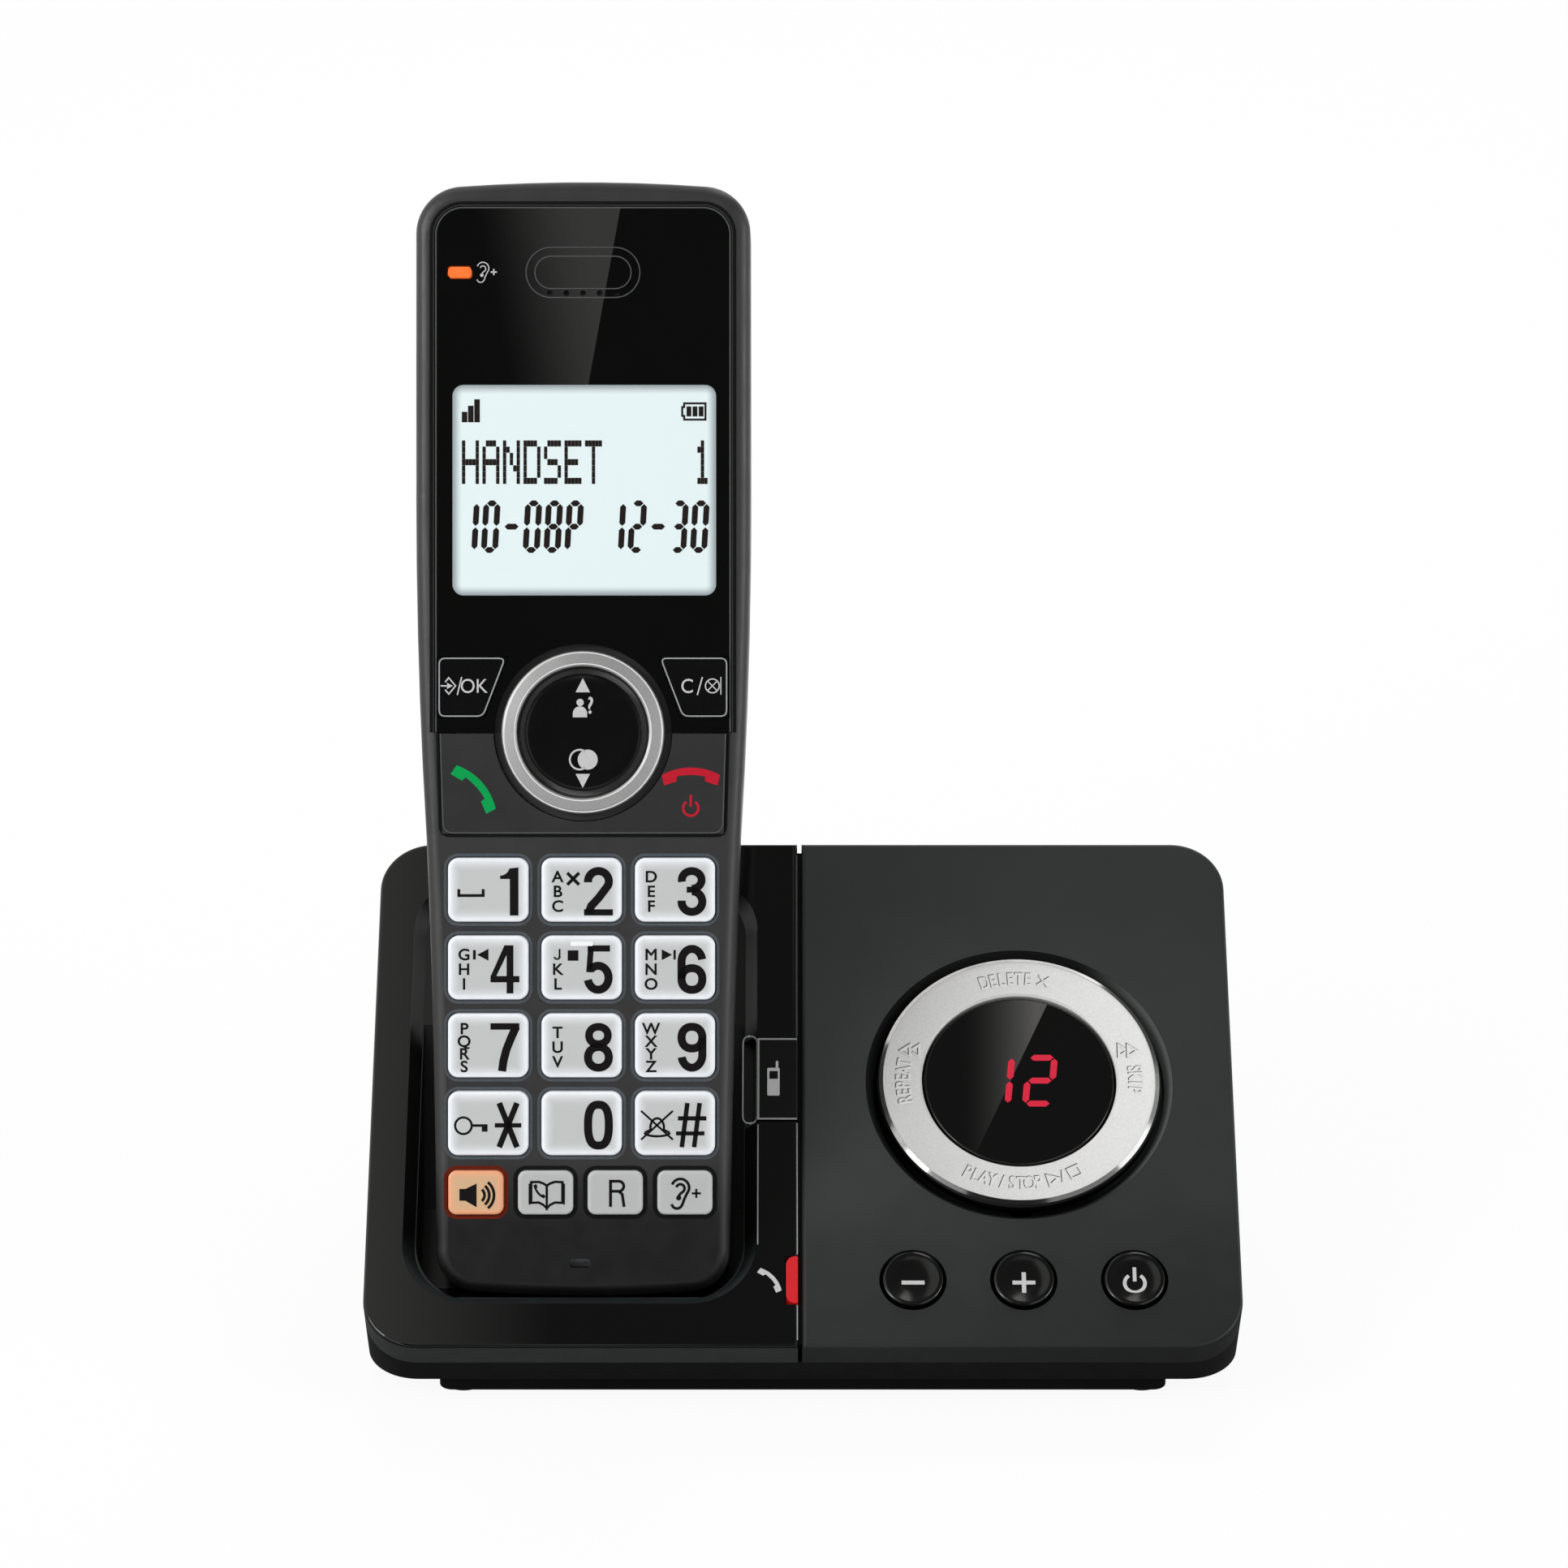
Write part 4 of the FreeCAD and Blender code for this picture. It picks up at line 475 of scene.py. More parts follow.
def key_cap(name, field, colours, strength, reach):
    """A translucent cap lit from below: light wells up along the rim of every cap of a field of keys, given
    as light of its own and as a lighter colour painted along the rim.
    """
    material, tree, shader = new_material(name)
    centre, pitch, size, corner = field
    across = [calc(tree, "WRAP", local(tree, HANDSET, i, centre[i]), pitch[i] / 2, -pitch[i] / 2)
              for i in (0, 1)]
    distance = inner_distance(tree, *across, *size, corner)
    edge = calc(tree, "POWER", spread(tree, distance, 1.0, 0.0, 0.0, reach), 2.2)
    middle, rim, glow = colours
    uneven = calc(tree, "MULTIPLY", edge, spread(tree, noise(tree, 0.5), 0.85, 1.1))
    # painted light: the base colour turns lighter towards the rim
    feed(shader, Base_Color=mixed(tree, middle, rim, edge), Roughness=0.35, Specular_IOR_Level=0.3,
         Emission_Color=glow, Emission_Strength=spread(tree, uneven, *strength, 0.0, 1.0))
    add_bump(tree, shader, noise(tree, 3.0), 0.08, 0.02)
    return material


RIM_MIDDLE = (-33.2, 44.15)
RIM_SIZE = (52.6, 73.9)
RIM_CORNER = 10.0
LIP_WIDTH = 1.9
RIM_SLACK = 0.05
RIM_DROP = -0.02
OUTER_EDGE = -2.0
OUTER_DROP = -0.35


def cradle_gloss():
    """Black piano finish, with a satin lip round the pocket that carries a painted grey highlight along its
    front, and a grey satin outer edge.
    """
    material, tree, shader = new_material("cradle_gloss")
    depth = local(tree, FACE, 2)
    inward = inner_distance(tree, local(tree, FACE, 0, RIM_MIDDLE[0]), local(tree, FACE, 1, RIM_MIDDLE[1]),
                            *RIM_SIZE, RIM_CORNER)
    within = below(tree, depth, RIM_DROP, calc(tree, "GREATER_THAN", inward, RIM_SLACK))
    # the lip is painted grey only along the front of the pocket: a painted highlight
    front = spread(tree, local(tree, FACE, 1), 1.0, 0.0, 13.0, 20.0, "SMOOTHSTEP")
    lip = below(tree, inward, LIP_WIDTH, calc(tree, "MULTIPLY", within, front))
    edge = below(tree, depth, OUTER_DROP, calc(tree, "LESS_THAN", inward, OUTER_EDGE))
    # the grey areas: the painted highlight on the lip and the satin outer edge
    satin = calc(tree, "MAXIMUM", lip, edge)
    matt = calc(tree, "MAXIMUM", satin, within)
    black = mixed(tree, "030303", "060606", noise(tree, 0.06))
    grey = mixed(tree, "262929", "323737", noise(tree, 0.4))
    feed(shader, Base_Color=mixed(tree, black, grey, satin), Specular_IOR_Level=0.45,
         Roughness=spread(tree, matt, 0.02, 0.3, 0.0, 1.0))
    add_bump(tree, shader, noise(tree, 0.4), 0.02, 0.003)
    return material


RECESS_RADIUS = 23.2


def panel_satin(shade_ramps):
    """Satin panel with painted shade ramps; the sloped wall round the ring key is painted black as shade,
    and painted grey where it faces the light.
    """
    material = plastic("panel_satin", "303232", "383b3a", (0.38, 0.46), 5.0, 0.22, 0.015, 0.25, shade_ramps)
    tree = material.node_tree
    shader = tree.nodes["Principled BSDF"]
    plain = shader.inputs["Base Color"].links[0].from_socket
    polish = shader.inputs["Roughness"].links[0].from_socket
    x = local(tree, FACE, 0, RING_X)
    y = local(tree, FACE, 1, RING_Y)
    across = 2 * RECESS_RADIUS
    inward = inner_distance(tree, x, y, across, across, RECESS_RADIUS)
    wall = below(tree, local(tree, FACE, 2), -0.03, calc(tree, "GREATER_THAN", inward, 0.02))
    # painted light and shade on the recess wall: black, turning grey towards its right side
    side = mixed(tree, "050606", "585a5a", spread(tree, x, 0.0, 1.0, 9.0, 20.5, "SMOOTHSTEP"))
    dull = calc(tree, "MAXIMUM", polish, calc(tree, "MULTIPLY", wall, 0.9))
    feed(shader, Base_Color=mixed(tree, plain, side, wall), Roughness=dull)
    return material


# painted shade ramps: the handset case darkens towards its foot, the panel towards its front, back and right
# side, the ring key towards its left and below the face, and the bright trim towards its front and right
# side
FOOT_PAINTED_SHADE = ((HANDSET, 1, ((0.0, 0.02), (6.0, 0.04), (11.0, 0.1), (14.0, 0.36), (21.0, 1.0))),)
PANEL_PAINTED_SHADE = ((FACE, 1, ((0.0, 0.55), (16.0, 0.72), (27.0, 1.0), (58.0, 1.0), (75.0, 0.8))),
               (FACE, 0, ((0.0, 1.05), (20.0, 1.02), (46.0, 0.8), (65.0, 0.72))))
RING_KEY_PAINTED_SHADE = ((FACE, 0, ((RING_X - 21.0, 0.7), (RING_X - 4.0, 0.86), (RING_X + 17.0, 1.0))),
              (FACE, 2, ((-2.0, 0.01), (-1.0, 1.0))))
TRIM_PAINTED_SHADE = ((FACE, 1, ((RING_Y - 21.0, 0.3), (RING_Y - 8.0, 0.5), (RING_Y + 4.0, 1.0))),
              (FACE, 0, ((RING_X - 21.0, 1.0), (RING_X, 0.85), (RING_X + 21.0, 0.5))))
CASE = plastic("handset_case", "2b2a2b", "363535", (0.34, 0.44), 5.0, 0.2, 0.015, 0.4, FOOT_PAINTED_SHADE)
LENS = plastic("lens_black", "020202", "050505", (0.0, 0.006), 0.4, 0.004, 0.001)
GLOSS = cradle_gloss()
PANEL = panel_satin(PANEL_PAINTED_SHADE)
HOUSING = plastic("housing_black", "0e0e0f", "151617", (0.38, 0.5), 4.0, 0.25, 0.02, 0.15)
KEY_BLACK = plastic("key_black", "040404", "090909", (0.14, 0.19), 0.6, 0.02, 0.003, 0.45)
PLATE = plastic("talk_plate", "262627", "313132", (0.32, 0.4), 5.0, 0.15, 0.012, 0.35)
SILVER = metal("ring_metal", "dadad9", "f6f6f5", (0.44, 0.52), 3.0, 0.45, 0.03, 0.15, RING_KEY_PAINTED_SHADE)
CHROME = metal("bright_trim", "c9c9c9", "e6e6e6", (0.08, 0.14), 1.5, 0.03, 0.004, 1.0, TRIM_PAINTED_SHADE)
NAV_METAL = metal("navigation_trim", "9a9a9a", "b8b8b8", (0.32, 0.4), 5.0, 0.3, 0.02, 0.5)
RUBBER = plastic("foot_rubber", "101010", "1b1b1b", (0.7, 0.85), 2.0, 0.4, 0.05)
MEMBRANE = plastic("membrane_rubber", "b9bbba", "cfd1cf", (0.6, 0.75), 2.0, 0.2, 0.03)
SOCKET = plastic("socket_black", "0d0d0e", "17181a", (0.35, 0.5), 3.0, 0.2, 0.02)
BOARD = plastic("circuit_board", "0d3a22", "175433", (0.3, 0.45), 1.0, 0.25, 0.03)
SPEAKER = metal("speaker_metal", "5d5f61", "8b8d90", (0.3, 0.45), 2.0, 0.3, 0.03)
BRASS = metal("contact_brass", "b98f4a", "e0bb74", (0.2, 0.32), 2.0, 0.2, 0.02)
STEEL = metal("screw_steel", "77797c", "a8abad", (0.22, 0.36), 3.0, 0.3, 0.02)
WRAP = plastic("cell_wrap", "2f6f4a", "3f8a5e", (0.25, 0.35), 0.8, 0.1, 0.02)
GLASS_BACK = plastic("display_frame", "a9b4b4", "c3cdcd", (0.35, 0.45), 1.0, 0.1, 0.02)
COUNTER = plastic("counter_body", "141414", "1e1e1e", (0.3, 0.4), 1.0, 0.1, 0.02)
RED_LIGHT = lit("light_red", "b3141d", "c91c25", "e01f26", 0.18)
PIP_WHITE = lit("key_bar", "e6e8e8", "f4f6f6", "ffffff", 0.1)
ORANGE_LIGHT = lit("light_orange", "e2541c", "f47a35", "ff6a22", 0.4)
COUNTER_RED = lit("counter_red", "a3102a", "bd1734", "d81b3a", 0.35)
WHITE_INK = ink("mark_light", "bcbcbc", "cecece", 0.45)
DARK_INK = ink("mark_dark", "0b0909", "171414", 0.5)
GREEN_INK = ink("mark_green", "05964a", "0aa452", 0.4)
RED_INK = ink("mark_red", "b01a2b", "c92034", 0.4)
SEGMENT_INK = ink("segment_dark", "1c1716", "2a2422", 0.3)
# painted light and shade drawn as flat inks: painted glow round the keys, painted shade in grooves and
# seams, painted highlights along edges, and painted shade and painted highlight copies of the ring key's
# legends
KEY_GLOW_PAINT = ink("key_painted_glow", "464c50", "575d62", 0.4)
ORANGE_GLOW_PAINT = ink("key_painted_glow_orange", "5a1509", "6a2412", 0.4)
GROOVE_SHADE = ink("groove_painted_shade", "080808", "121213", 0.5)
BRIGHT_HIGHLIGHT = ink("highlight_bright", "8f9192", "a6a8a9", 0.35)
FAINT_HIGHLIGHT = ink("highlight_faint", "484a4b", "585a5b", 0.4)
RING_LEGEND_SHADE = ink("ring_legend_painted_shade", "242425", "303031", 0.45)
RING_HIGHLIGHT = ink("ring_painted_highlight", "e2e2e2", "f0f0f0", 0.4)

NO_PITCH = 200.0
DIAL_CAP_CORNER = 1.5
FUNCTION_CAP_CORNER = 1.2
DIAL_FIELD = ((DIAL_X, DIAL_Y), DIAL_PITCH, DIAL_CAP_SIZE, DIAL_CAP_CORNER)
FUNCTION_FIELD = ((FUNCTION_X + FUNCTION_PITCH / 2, FUNCTION_Y), (FUNCTION_PITCH, NO_PITCH),
                  FUNCTION_CAP_SIZE, FUNCTION_CAP_CORNER)
# colours are middle, rim and glow: the lighter rim colour is painted light
DIAL_CAP = key_cap("key_light", DIAL_FIELD, ("c6c8c8", "e4e6e8", "eef4ff"), (0.0, 0.3), 2.2)
FUNCTION_CAP = key_cap("key_plain", FUNCTION_FIELD, ("babbbb", "c8c9c9", "ffffff"), (0.0, 0.02), 1.0)
ORANGE_CAP = key_cap("key_orange", FUNCTION_FIELD, ("d8b28c", "f0a37c", "ff8a55"), (0.0, 0.13), 1.6)
DIAL_ROWS = (("key_star", "key_0", "key_hash"), ("key_7", "key_8", "key_9"), ("key_4", "key_5", "key_6"),
             ("key_1", "key_2", "key_3"))

NODE_MATERIALS = {
    CASE: ["handset_front_case", "handset_rear_case", "battery_door"],
    LENS: ["display_lens", "display_window"],
    GLOSS: ["cradle_cover"],
    PANEL: ["control_panel"],
    HOUSING: ["base_bottom_housing"],
    SILVER: ["ring_key"],
    CHROME: ["ring_key_trim"],
    NAV_METAL: ["navigation_ring_trim"],
    KEY_BLACK: ["navigation_key", "find_handset_key", "ok_soft_key", "clear_soft_key",
                "volume_down_button", "volume_up_button", "answer_on_off_button"],
    PLATE: ["talk_end_key"],
    DIAL_CAP: [node for row in DIAL_ROWS for node in row],
    FUNCTION_CAP: ["phonebook_key", "recall_key", "boost_key"],
    ORANGE_CAP: ["speaker_key"],
    RED_LIGHT: ["in_use_light"],
    ORANGE_LIGHT: ["boost_light"],
    GLASS_BACK: ["lcd_module"],
    COUNTER: ["message_counter", "ring_key_carrier"],
    BOARD: ["base_circuit_board", "handset_circuit_board"],
    MEMBRANE: ["keypad_membrane"],
    SPEAKER: ["base_loudspeaker", "earpiece_speaker", "handset_loudspeaker", "microphone"],
    BRASS: ["base_charging_contacts", "handset_charging_contacts", "battery_contacts"],
    STEEL: ["base_screws", "handset_screws", "circuit_board_screws"],
    RUBBER: ["base_feet"],
    SOCKET: ["line_socket", "power_socket", "base_tact_switches"],
    WRAP: ["battery_cells"],
}
for material, names in NODE_MATERIALS.items():
    for name in names:
        nodes[name].data.materials.clear()
        nodes[name].data.materials.append(material)

# ---------- the dial keys ----------

BAR = 0.168
WIDE = 0.6
MIDDLE = WIDE / 2
REACH = MIDDLE - BAR / 2
ONE_STEM = WIDE - BAR - 0.03
ONE = [(0.2, 0.76), (0.2, 0.83)] + arc(0.2, 1.03, 0.2, 0.2, 270, 345, 8)
ONE += [(WIDE - 0.02, 1.0), (WIDE - 0.02, 0), (ONE_STEM, 0), (ONE_STEM, 0.76)]
TWO = [(BAR / 2, 0.69)] + arc(MIDDLE, 0.71, REACH, 0.215, 180, -25)
TWO += [(0.3, 0.36), (0.15, 0.2), (BAR / 2 + 0.015, 0.06)]
THREE_HIGH = [(BAR / 2 + 0.01, 0.7)] + arc(MIDDLE - 0.005, 0.74, REACH - 0.01, 0.185, 180, -90)
THREE_LOW = arc(MIDDLE, 0.29, REACH, 0.215, 90, -180) + [(BAR / 2, 0.31)]
FOUR = [(0.29, 1), (0.475, 1), (0.475, 0.36), (WIDE, 0.36), (WIDE, 0.23), (0.475, 0.23), (0.475, 0),
        (0.335, 0), (0.335, 0.23), (0, 0.23), (0, 0.35)]
SIX_BACK = arc(MIDDLE, 0.66, REACH, 0.265, 10, 180) + [(BAR / 2, 0.3)]
SEVEN = [(0.535, 0.93), (0.43, 0.7), (0.33, 0.45), (0.27, 0.22), (0.24, 0.0)]
# parts of each sign, in a box one unit tall and WIDE across
NUMERALS = {
    "key_1": [[ONE]],
    "key_2": [stroke(TWO, BAR), [box(0, 0, WIDE, 0.13)]],
    "key_3": [stroke(THREE_HIGH, BAR * 0.98), stroke(THREE_LOW, BAR), [box(0.19, 0.475, MIDDLE, 0.6)]],
    "key_4": [[FOUR, [(0.335, 0.36), (0.335, 0.8), (0.12, 0.36)]]],
    "key_5": [stroke(arc(MIDDLE - 0.005, 0.325, REACH, 0.25, 140, -170), BAR), [box(0.075, 0.87, 0.54, 1.0)],
              stroke([(0.145, 0.95), (0.105, 0.44)], 0.12)],
    "key_6": [stroke(superellipse(MIDDLE, 0.3, REACH, 0.225, 2.2), BAR, True), stroke(SIX_BACK, BAR)],
    "key_7": [[box(0, 0.865, WIDE, 1.0)], stroke(SEVEN, BAR)],
    "key_8": [stroke(superellipse(MIDDLE, 0.745, REACH - 0.02, 0.18, 2.1), BAR * 0.95, True),
              stroke(superellipse(MIDDLE, 0.29, REACH, 0.215, 2.1), BAR, True)],
    "key_0": [stroke(superellipse(MIDDLE, 0.5, REACH, 0.425, 2.6), BAR, True)],
    "key_star": [stroke([(0.18, 0.96), (0.55, 0.04)], 0.12), stroke([(0.55, 0.96), (0.18, 0.04)], 0.12),
                 [box(0.09, 0.45, 0.64, 0.54)]],
    "key_hash": [stroke([(0.09, 0.04), (0.205, 0.96)], 0.095), stroke([(0.345, 0.04), (0.46, 0.96)], 0.095),
                 [box(0.01, 0.595, WIDE, 0.685)], [box(-0.03, 0.285, WIDE - 0.04, 0.37)]],
}
NUMERALS["key_9"] = [[[(WIDE - x, 1 - y) for x, y in loop] for loop in part] for part in NUMERALS["key_6"]]
NUMERAL_TALL = 7.1
NUMERAL_X = 0.38
NUMERAL_Y = -3.8

SPACE = [(-4.3, 0.1), (-4.3, -0.85), (-0.7, -0.85), (-0.7, 0.1)]
LOCK_KEY = [(-2.3, -0.12), (-2.3, -0.5), (-0.9, -0.5), (-0.9, -1.22), (-0.06, -1.22), (-0.06, -0.12)]
BELL = [(-4.45, -1.35)] + arc(-2.62, -0.6, 1.0, 1.35, 195, -15, 20) + [(-0.8, -1.35)]
KEY_LETTERS = {"key_2": "ABC", "key_3": "DEF", "key_4": "GHI", "key_5": "JKL", "key_6": "MNO",
               "key_7": "PQRS", "key_8": "TUV", "key_9": "WXYZ"}
LETTER_HEIGHTS = {0: (), 3: (1.95, -0.22, -2.4), 4: (2.5, 0.64, -1.22, -3.08)}
LETTER_TALL = 1.62
LETTER_X = -3.52
LETTER_J = [(0.3, 0.81), (0.3, -0.35)] + arc(-0.08, -0.35, 0.38, 0.34, 0, -180, 10)
# parts of the small sign beside a numeral, and of the drawn J, about the middle of the key
KEY_SIGNS = {
    "key_1": [stroke(SPACE, 0.42)],
    "key_2": [moved(bar, -1.22, 1.62) for bar in crossed(1.75, 0.48)],
    "key_4": [[box(-2.2, 1.2, -1.8, 2.6), triangle((-1.6, 1.9), 0.07, 0.87)]],
    "key_5": [[box(-2.02, 1.02, -0.45, 2.56)],
              moved(stroke(LETTER_J, 0.25), LETTER_X, LETTER_HEIGHTS[3][0])],
    "key_6": [[triangle((-0.43, 1.9), -1.94, 0.8), box(-0.22, 1.2, 0.12, 2.6)]],
    "key_star": [ring(-3.62, -0.34, 1.22, 0.33), [LOCK_KEY]],
    "key_hash": [stroke(BELL, 0.34), stroke(arc(-2.62, -1.35, 1.85, 0.55, 180, 360, 20), 0.34),
                 stroke([(-5.0, 1.85), (-0.3, -2.4)], 0.3), stroke([(-0.3, 1.85), (-5.0, -2.4)], 0.3)],
}
PIP = rounded_box(-1.6, 3.2, 1.7, 3.85, 0.2)


def dial_place(row, column):
    return DIAL_X + column * DIAL_PITCH[0], DIAL_Y + row * DIAL_PITCH[1]


for row, names in enumerate(DIAL_ROWS):
    for column, node in enumerate(names, start=-1):
        x, y = dial_place(row, column)
        parts = [moved(loops, NUMERAL_X, NUMERAL_Y, NUMERAL_TALL) for loops in NUMERALS[node]]
        letters = KEY_LETTERS.get(node, "")
        words = [(letter, x + LETTER_X, y + height, LETTER_TALL, 1.05, 0.05)
                 for letter, height in zip(letters, LETTER_HEIGHTS[len(letters)]) if letter != "J"]
        marks(node + "_marks", node, DARK_INK, CAP_RISE + INK_LIFT, parts + KEY_SIGNS.get(node, []), x, y,
              words=words)

# ---------- small signs ----------

def receiver_sign():
    """A telephone receiver, 8.8 across, bowed upwards about the origin."""
    outer = arc(0, -7.6, 8.9, 8.9, 119, 61, 24)
    inner = arc(0, -9.4, 9.6, 9.6, 77, 103, 12)
    return [outer + [(3.95, -1.35), (2.1, -0.75), (2.1, 0.0)] + inner[1:-1]
            + [(-2.1, 0.0), (-2.1, -0.75), (-3.95, -1.35)]]


def power_sign(radius, width):
    """An open ring with a stroke in its gap."""
    open_ring = arc(0, 0, radius, radius, 125, 415, 40)
    return [stroke(open_ring, width), stroke([(0, radius * 0.2), (0, radius * 1.75)], width)]


def ear_sign(width):
    """An ear in two strokes with a plus beside it, about 4 tall."""
    outer = arc(-0.5, 0.75, 1.15, 1.15, 160, -40, 24) + [(0.02, -0.75), (-0.25, -1.5)]
    outer += arc(-0.95, -1.3, 0.7, 0.7, -20, -170, 12)
    inner = arc(-0.5, 0.65, 0.55, 0.55, 165, -50, 16) + [(-0.55, -0.1), (-0.75, -0.45)]
    return [stroke(outer, width), stroke(inner, width), [circle(-0.72, -0.6, 0.34, 20)],
            [box(1.0, -0.14, 2.2, 0.14)], [box(1.46, -0.6, 1.74, 0.6)]]


def function_x(column):
    return FUNCTION_X + (column - 1.5) * FUNCTION_PITCH


def function_marks(node, column, parts, x, y=0.0, scale=1.0):
    marks(node + "_marks", node, DARK_INK, CAP_RISE + INK_LIFT, parts, function_x(column) + x,
          FUNCTION_Y + y, scale)


speaker = [[[(-2.4, 0.55), (-1.53, 0.55), (0.13, 1.34), (0.13, -2.15), (-1.53, -1.19), (-2.4, -1.19)]]]
for wave in (1.1, 1.8, 2.5):
    speaker.append(stroke(arc(0.2, -0.38, wave, wave, 50, -50, 20), 0.42))
function_marks("speaker_key", 0, speaker, 0.0)

book = []
for side in (-1, 1):
    page = [(0.0, -2.3), (0.0, 1.05), (side * 0.5, 1.35), (side * 1.2, 1.6), (side * 2.3, 1.55),
            (side * 2.3, -1.5), (side * 1.2, -1.45), (side * 0.5, -1.8)]
    book.append(stroke(page[::side], 0.36, True))
    book.append([box(side * 2.55 - 0.13, -1.75, side * 2.55 + 0.13, 1.35)])
book.append(moved(receiver_sign(), -1.15, 0.15, 0.29, 128))
function_marks("phonebook_key", 1, book, 0.2)

R_BOWL = [(-0.9, 1.69), (0.35, 1.69)] + arc(0.35, 0.95, 0.72, 0.74, 85, -85, 14) + [(-0.9, 0.21)]
LETTER_R = [[box(-1.1, -2.1, -0.66, 1.9)], stroke(R_BOWL, 0.42),
            stroke([(0.3, 0.25), (0.85, -0.25), (1.12, -2.1)], 0.42)]
function_marks("recall_key", 2, LETTER_R, 0.2)
function_marks("boost_key", 3, ear_sign(0.36), -0.1, -0.1, 1.12)
marks("key_5_bar", "key_5", PIP_WHITE, CAP_RISE + 0.06, [[PIP]], *dial_place(2, 0), thickness=0.16)

# painted glow and painted shadow lines on the case round the keys
CASE_TOP = 0.02


def cap_border(x, y, size, corner, away, width):
    wide, tall = (side / 2 + away for side in size)
    return stroke(rounded_box(x - wide, y - tall, x + wide, y + tall, corner + away), width, True)


def case_lines(name, material, parts, lift=CASE_TOP):
    marks(name, "handset", material, lift, parts, thickness=LINE_THICK)


def function_border(column):
    return cap_border(function_x(column), FUNCTION_Y, FUNCTION_CAP_SIZE, FUNCTION_CAP_CORNER, 0.42, 0.5)


dial_places = [dial_place(row, column) for row in range(4) for column in (-1, 0, 1)]
case_lines("key_painted_glows", KEY_GLOW_PAINT,
           [cap_border(*place, DIAL_CAP_SIZE, DIAL_CAP_CORNER, 0.45, 0.4) for place in dial_places])
case_lines("speaker_key_painted_glow", ORANGE_GLOW_PAINT, [function_border(0)])
case_lines("function_key_groove_shades", GROOVE_SHADE, [function_border(column) for column in (1, 2, 3)])

# ---------- marks round the navigation key ----------

NAV_MARKS = [
    [[(-1.06, 5.9), (1.06, 5.9), (0, 8.0)]],
    [circle(-0.4, 4.4, 0.54)],
    [[(-1.48, 2.2), (0.64, 2.2)] + arc(-0.42, 2.75, 1.06, 1.08, 0, 180, 20)],
    stroke(arc(-0.47, -4.04, 1.45, 1.45, 55, 305, 30), 0.27),
    [circle(0.72, -4.04, 1.48)],
    [[(-1.06, -6.15), (1.06, -6.15), (0, -8.2)]],
]
NAV_KEY_RISE = 0.6
marks("navigation_key_marks", "navigation_key", WHITE_INK, NAV_KEY_RISE + 0.03, NAV_MARKS, 0, NAV_Y,
      words=[("?", 1.1, NAV_Y + 4.0, 2.4, 0.9, 0.05)], thickness=LINE_THICK)

SOFT_TOP = Measured("ok_soft_key", HANDSET).high.z + PRINT_LIFT
SIGN_Y = NAV_Y + 6.85
STORE_SIGN = [(-20.35, 0.55), (-19.8, 1.2), (-18.8, 0.0), (-19.8, -1.2), (-20.35, -0.55)]
OK_SIGNS = [stroke(STORE_SIGN, 0.2), stroke([(-18.55, -1.35), (-17.9, 1.3)], 0.2),
            [box(-21.0, -0.11, -19.9, 0.11)], [triangle((-19.2, 0.0), -20.05, 0.45)]]
CLEAR_SIGNS = [stroke([(16.9, -1.35), (17.65, 1.3)], 0.2), [box(20.3, -1.3, 20.45, 1.3)],
               ring(19.12, 0, 1.02, 0.18)] + [moved(bar, 19.12) for bar in crossed(1.35, 0.16)]
for node, signs, words in (("ok_soft_key", OK_SIGNS, ("OK", -16.1, SIGN_Y, 2.05, 0.93)),
                           ("clear_soft_key", CLEAR_SIGNS, ("C", 15.4, SIGN_Y, 2.05, 0.92, 0.01))):
    marks(node + "_marks", node, WHITE_INK, SOFT_TOP, signs, 0, SIGN_Y, words=[words])
SOFT_KEY = [(-21.22, 10.92), (-11.5, 10.92), (-14.78, 2.38), (-21.22, 2.38)]
# a painted highlight along each soft key's edge
for node, side in (("ok_soft_key", 1), ("clear_soft_key", -1)):
    edge = softened([(side * x, NAV_Y + y) for x, y in SOFT_KEY], 0.9)
    marks(node + "_edge_highlight", node, BRIGHT_HIGHLIGHT, SOFT_TOP, [stroke(edge, 0.2, True)])

PLATE_TOP = Measured("talk_end_key", HANDSET).high.z + PRINT_LIFT
TALK_HALF = (21.2, 20.8)
TALK_REACH = (-0.2, -15.0)
TALK_CORNER = 1.4


def talk_outline(grow):
    """The talk plate's three free sides, from its top left corner round to its top right one."""
    top, low = NAV_Y + TALK_REACH[0], NAV_Y + TALK_REACH[1] - grow
    half_top, half_low = TALK_HALF[0] + grow, TALK_HALF[1] + grow
    left = arc(TALK_CORNER - half_low, low + TALK_CORNER, TALK_CORNER, TALK_CORNER, 180, 270, 8)
    right = arc(half_low - TALK_CORNER, low + TALK_CORNER, TALK_CORNER, TALK_CORNER, 270, 360, 8)
    return [(-half_top, top)] + left + right + [(half_top, top)]


# painted shade in the groove round the talk plate, and a painted highlight along its edge
case_lines("talk_plate_groove_shade", GROOVE_SHADE, [stroke(talk_outline(0.3), 0.4)])
marks("talk_plate_highlight", "talk_end_key", FAINT_HIGHLIGHT, PLATE_TOP - 0.01, [stroke(talk_outline(-0.14), 0.18)])
marks("talk_marks", "talk_end_key", GREEN_INK, PLATE_TOP, [receiver_sign()], -15.9, NAV_Y - 8.206, 1.0, -48)
END_SIGN = [moved(receiver_sign(), 0.01, 4.7)] + power_sign(1.12, 0.36)
marks("end_marks", "talk_end_key", RED_INK, PLATE_TOP, END_SIGN, 15.93, NAV_Y - 11.206)

# ---------- lens marks and the display ----------

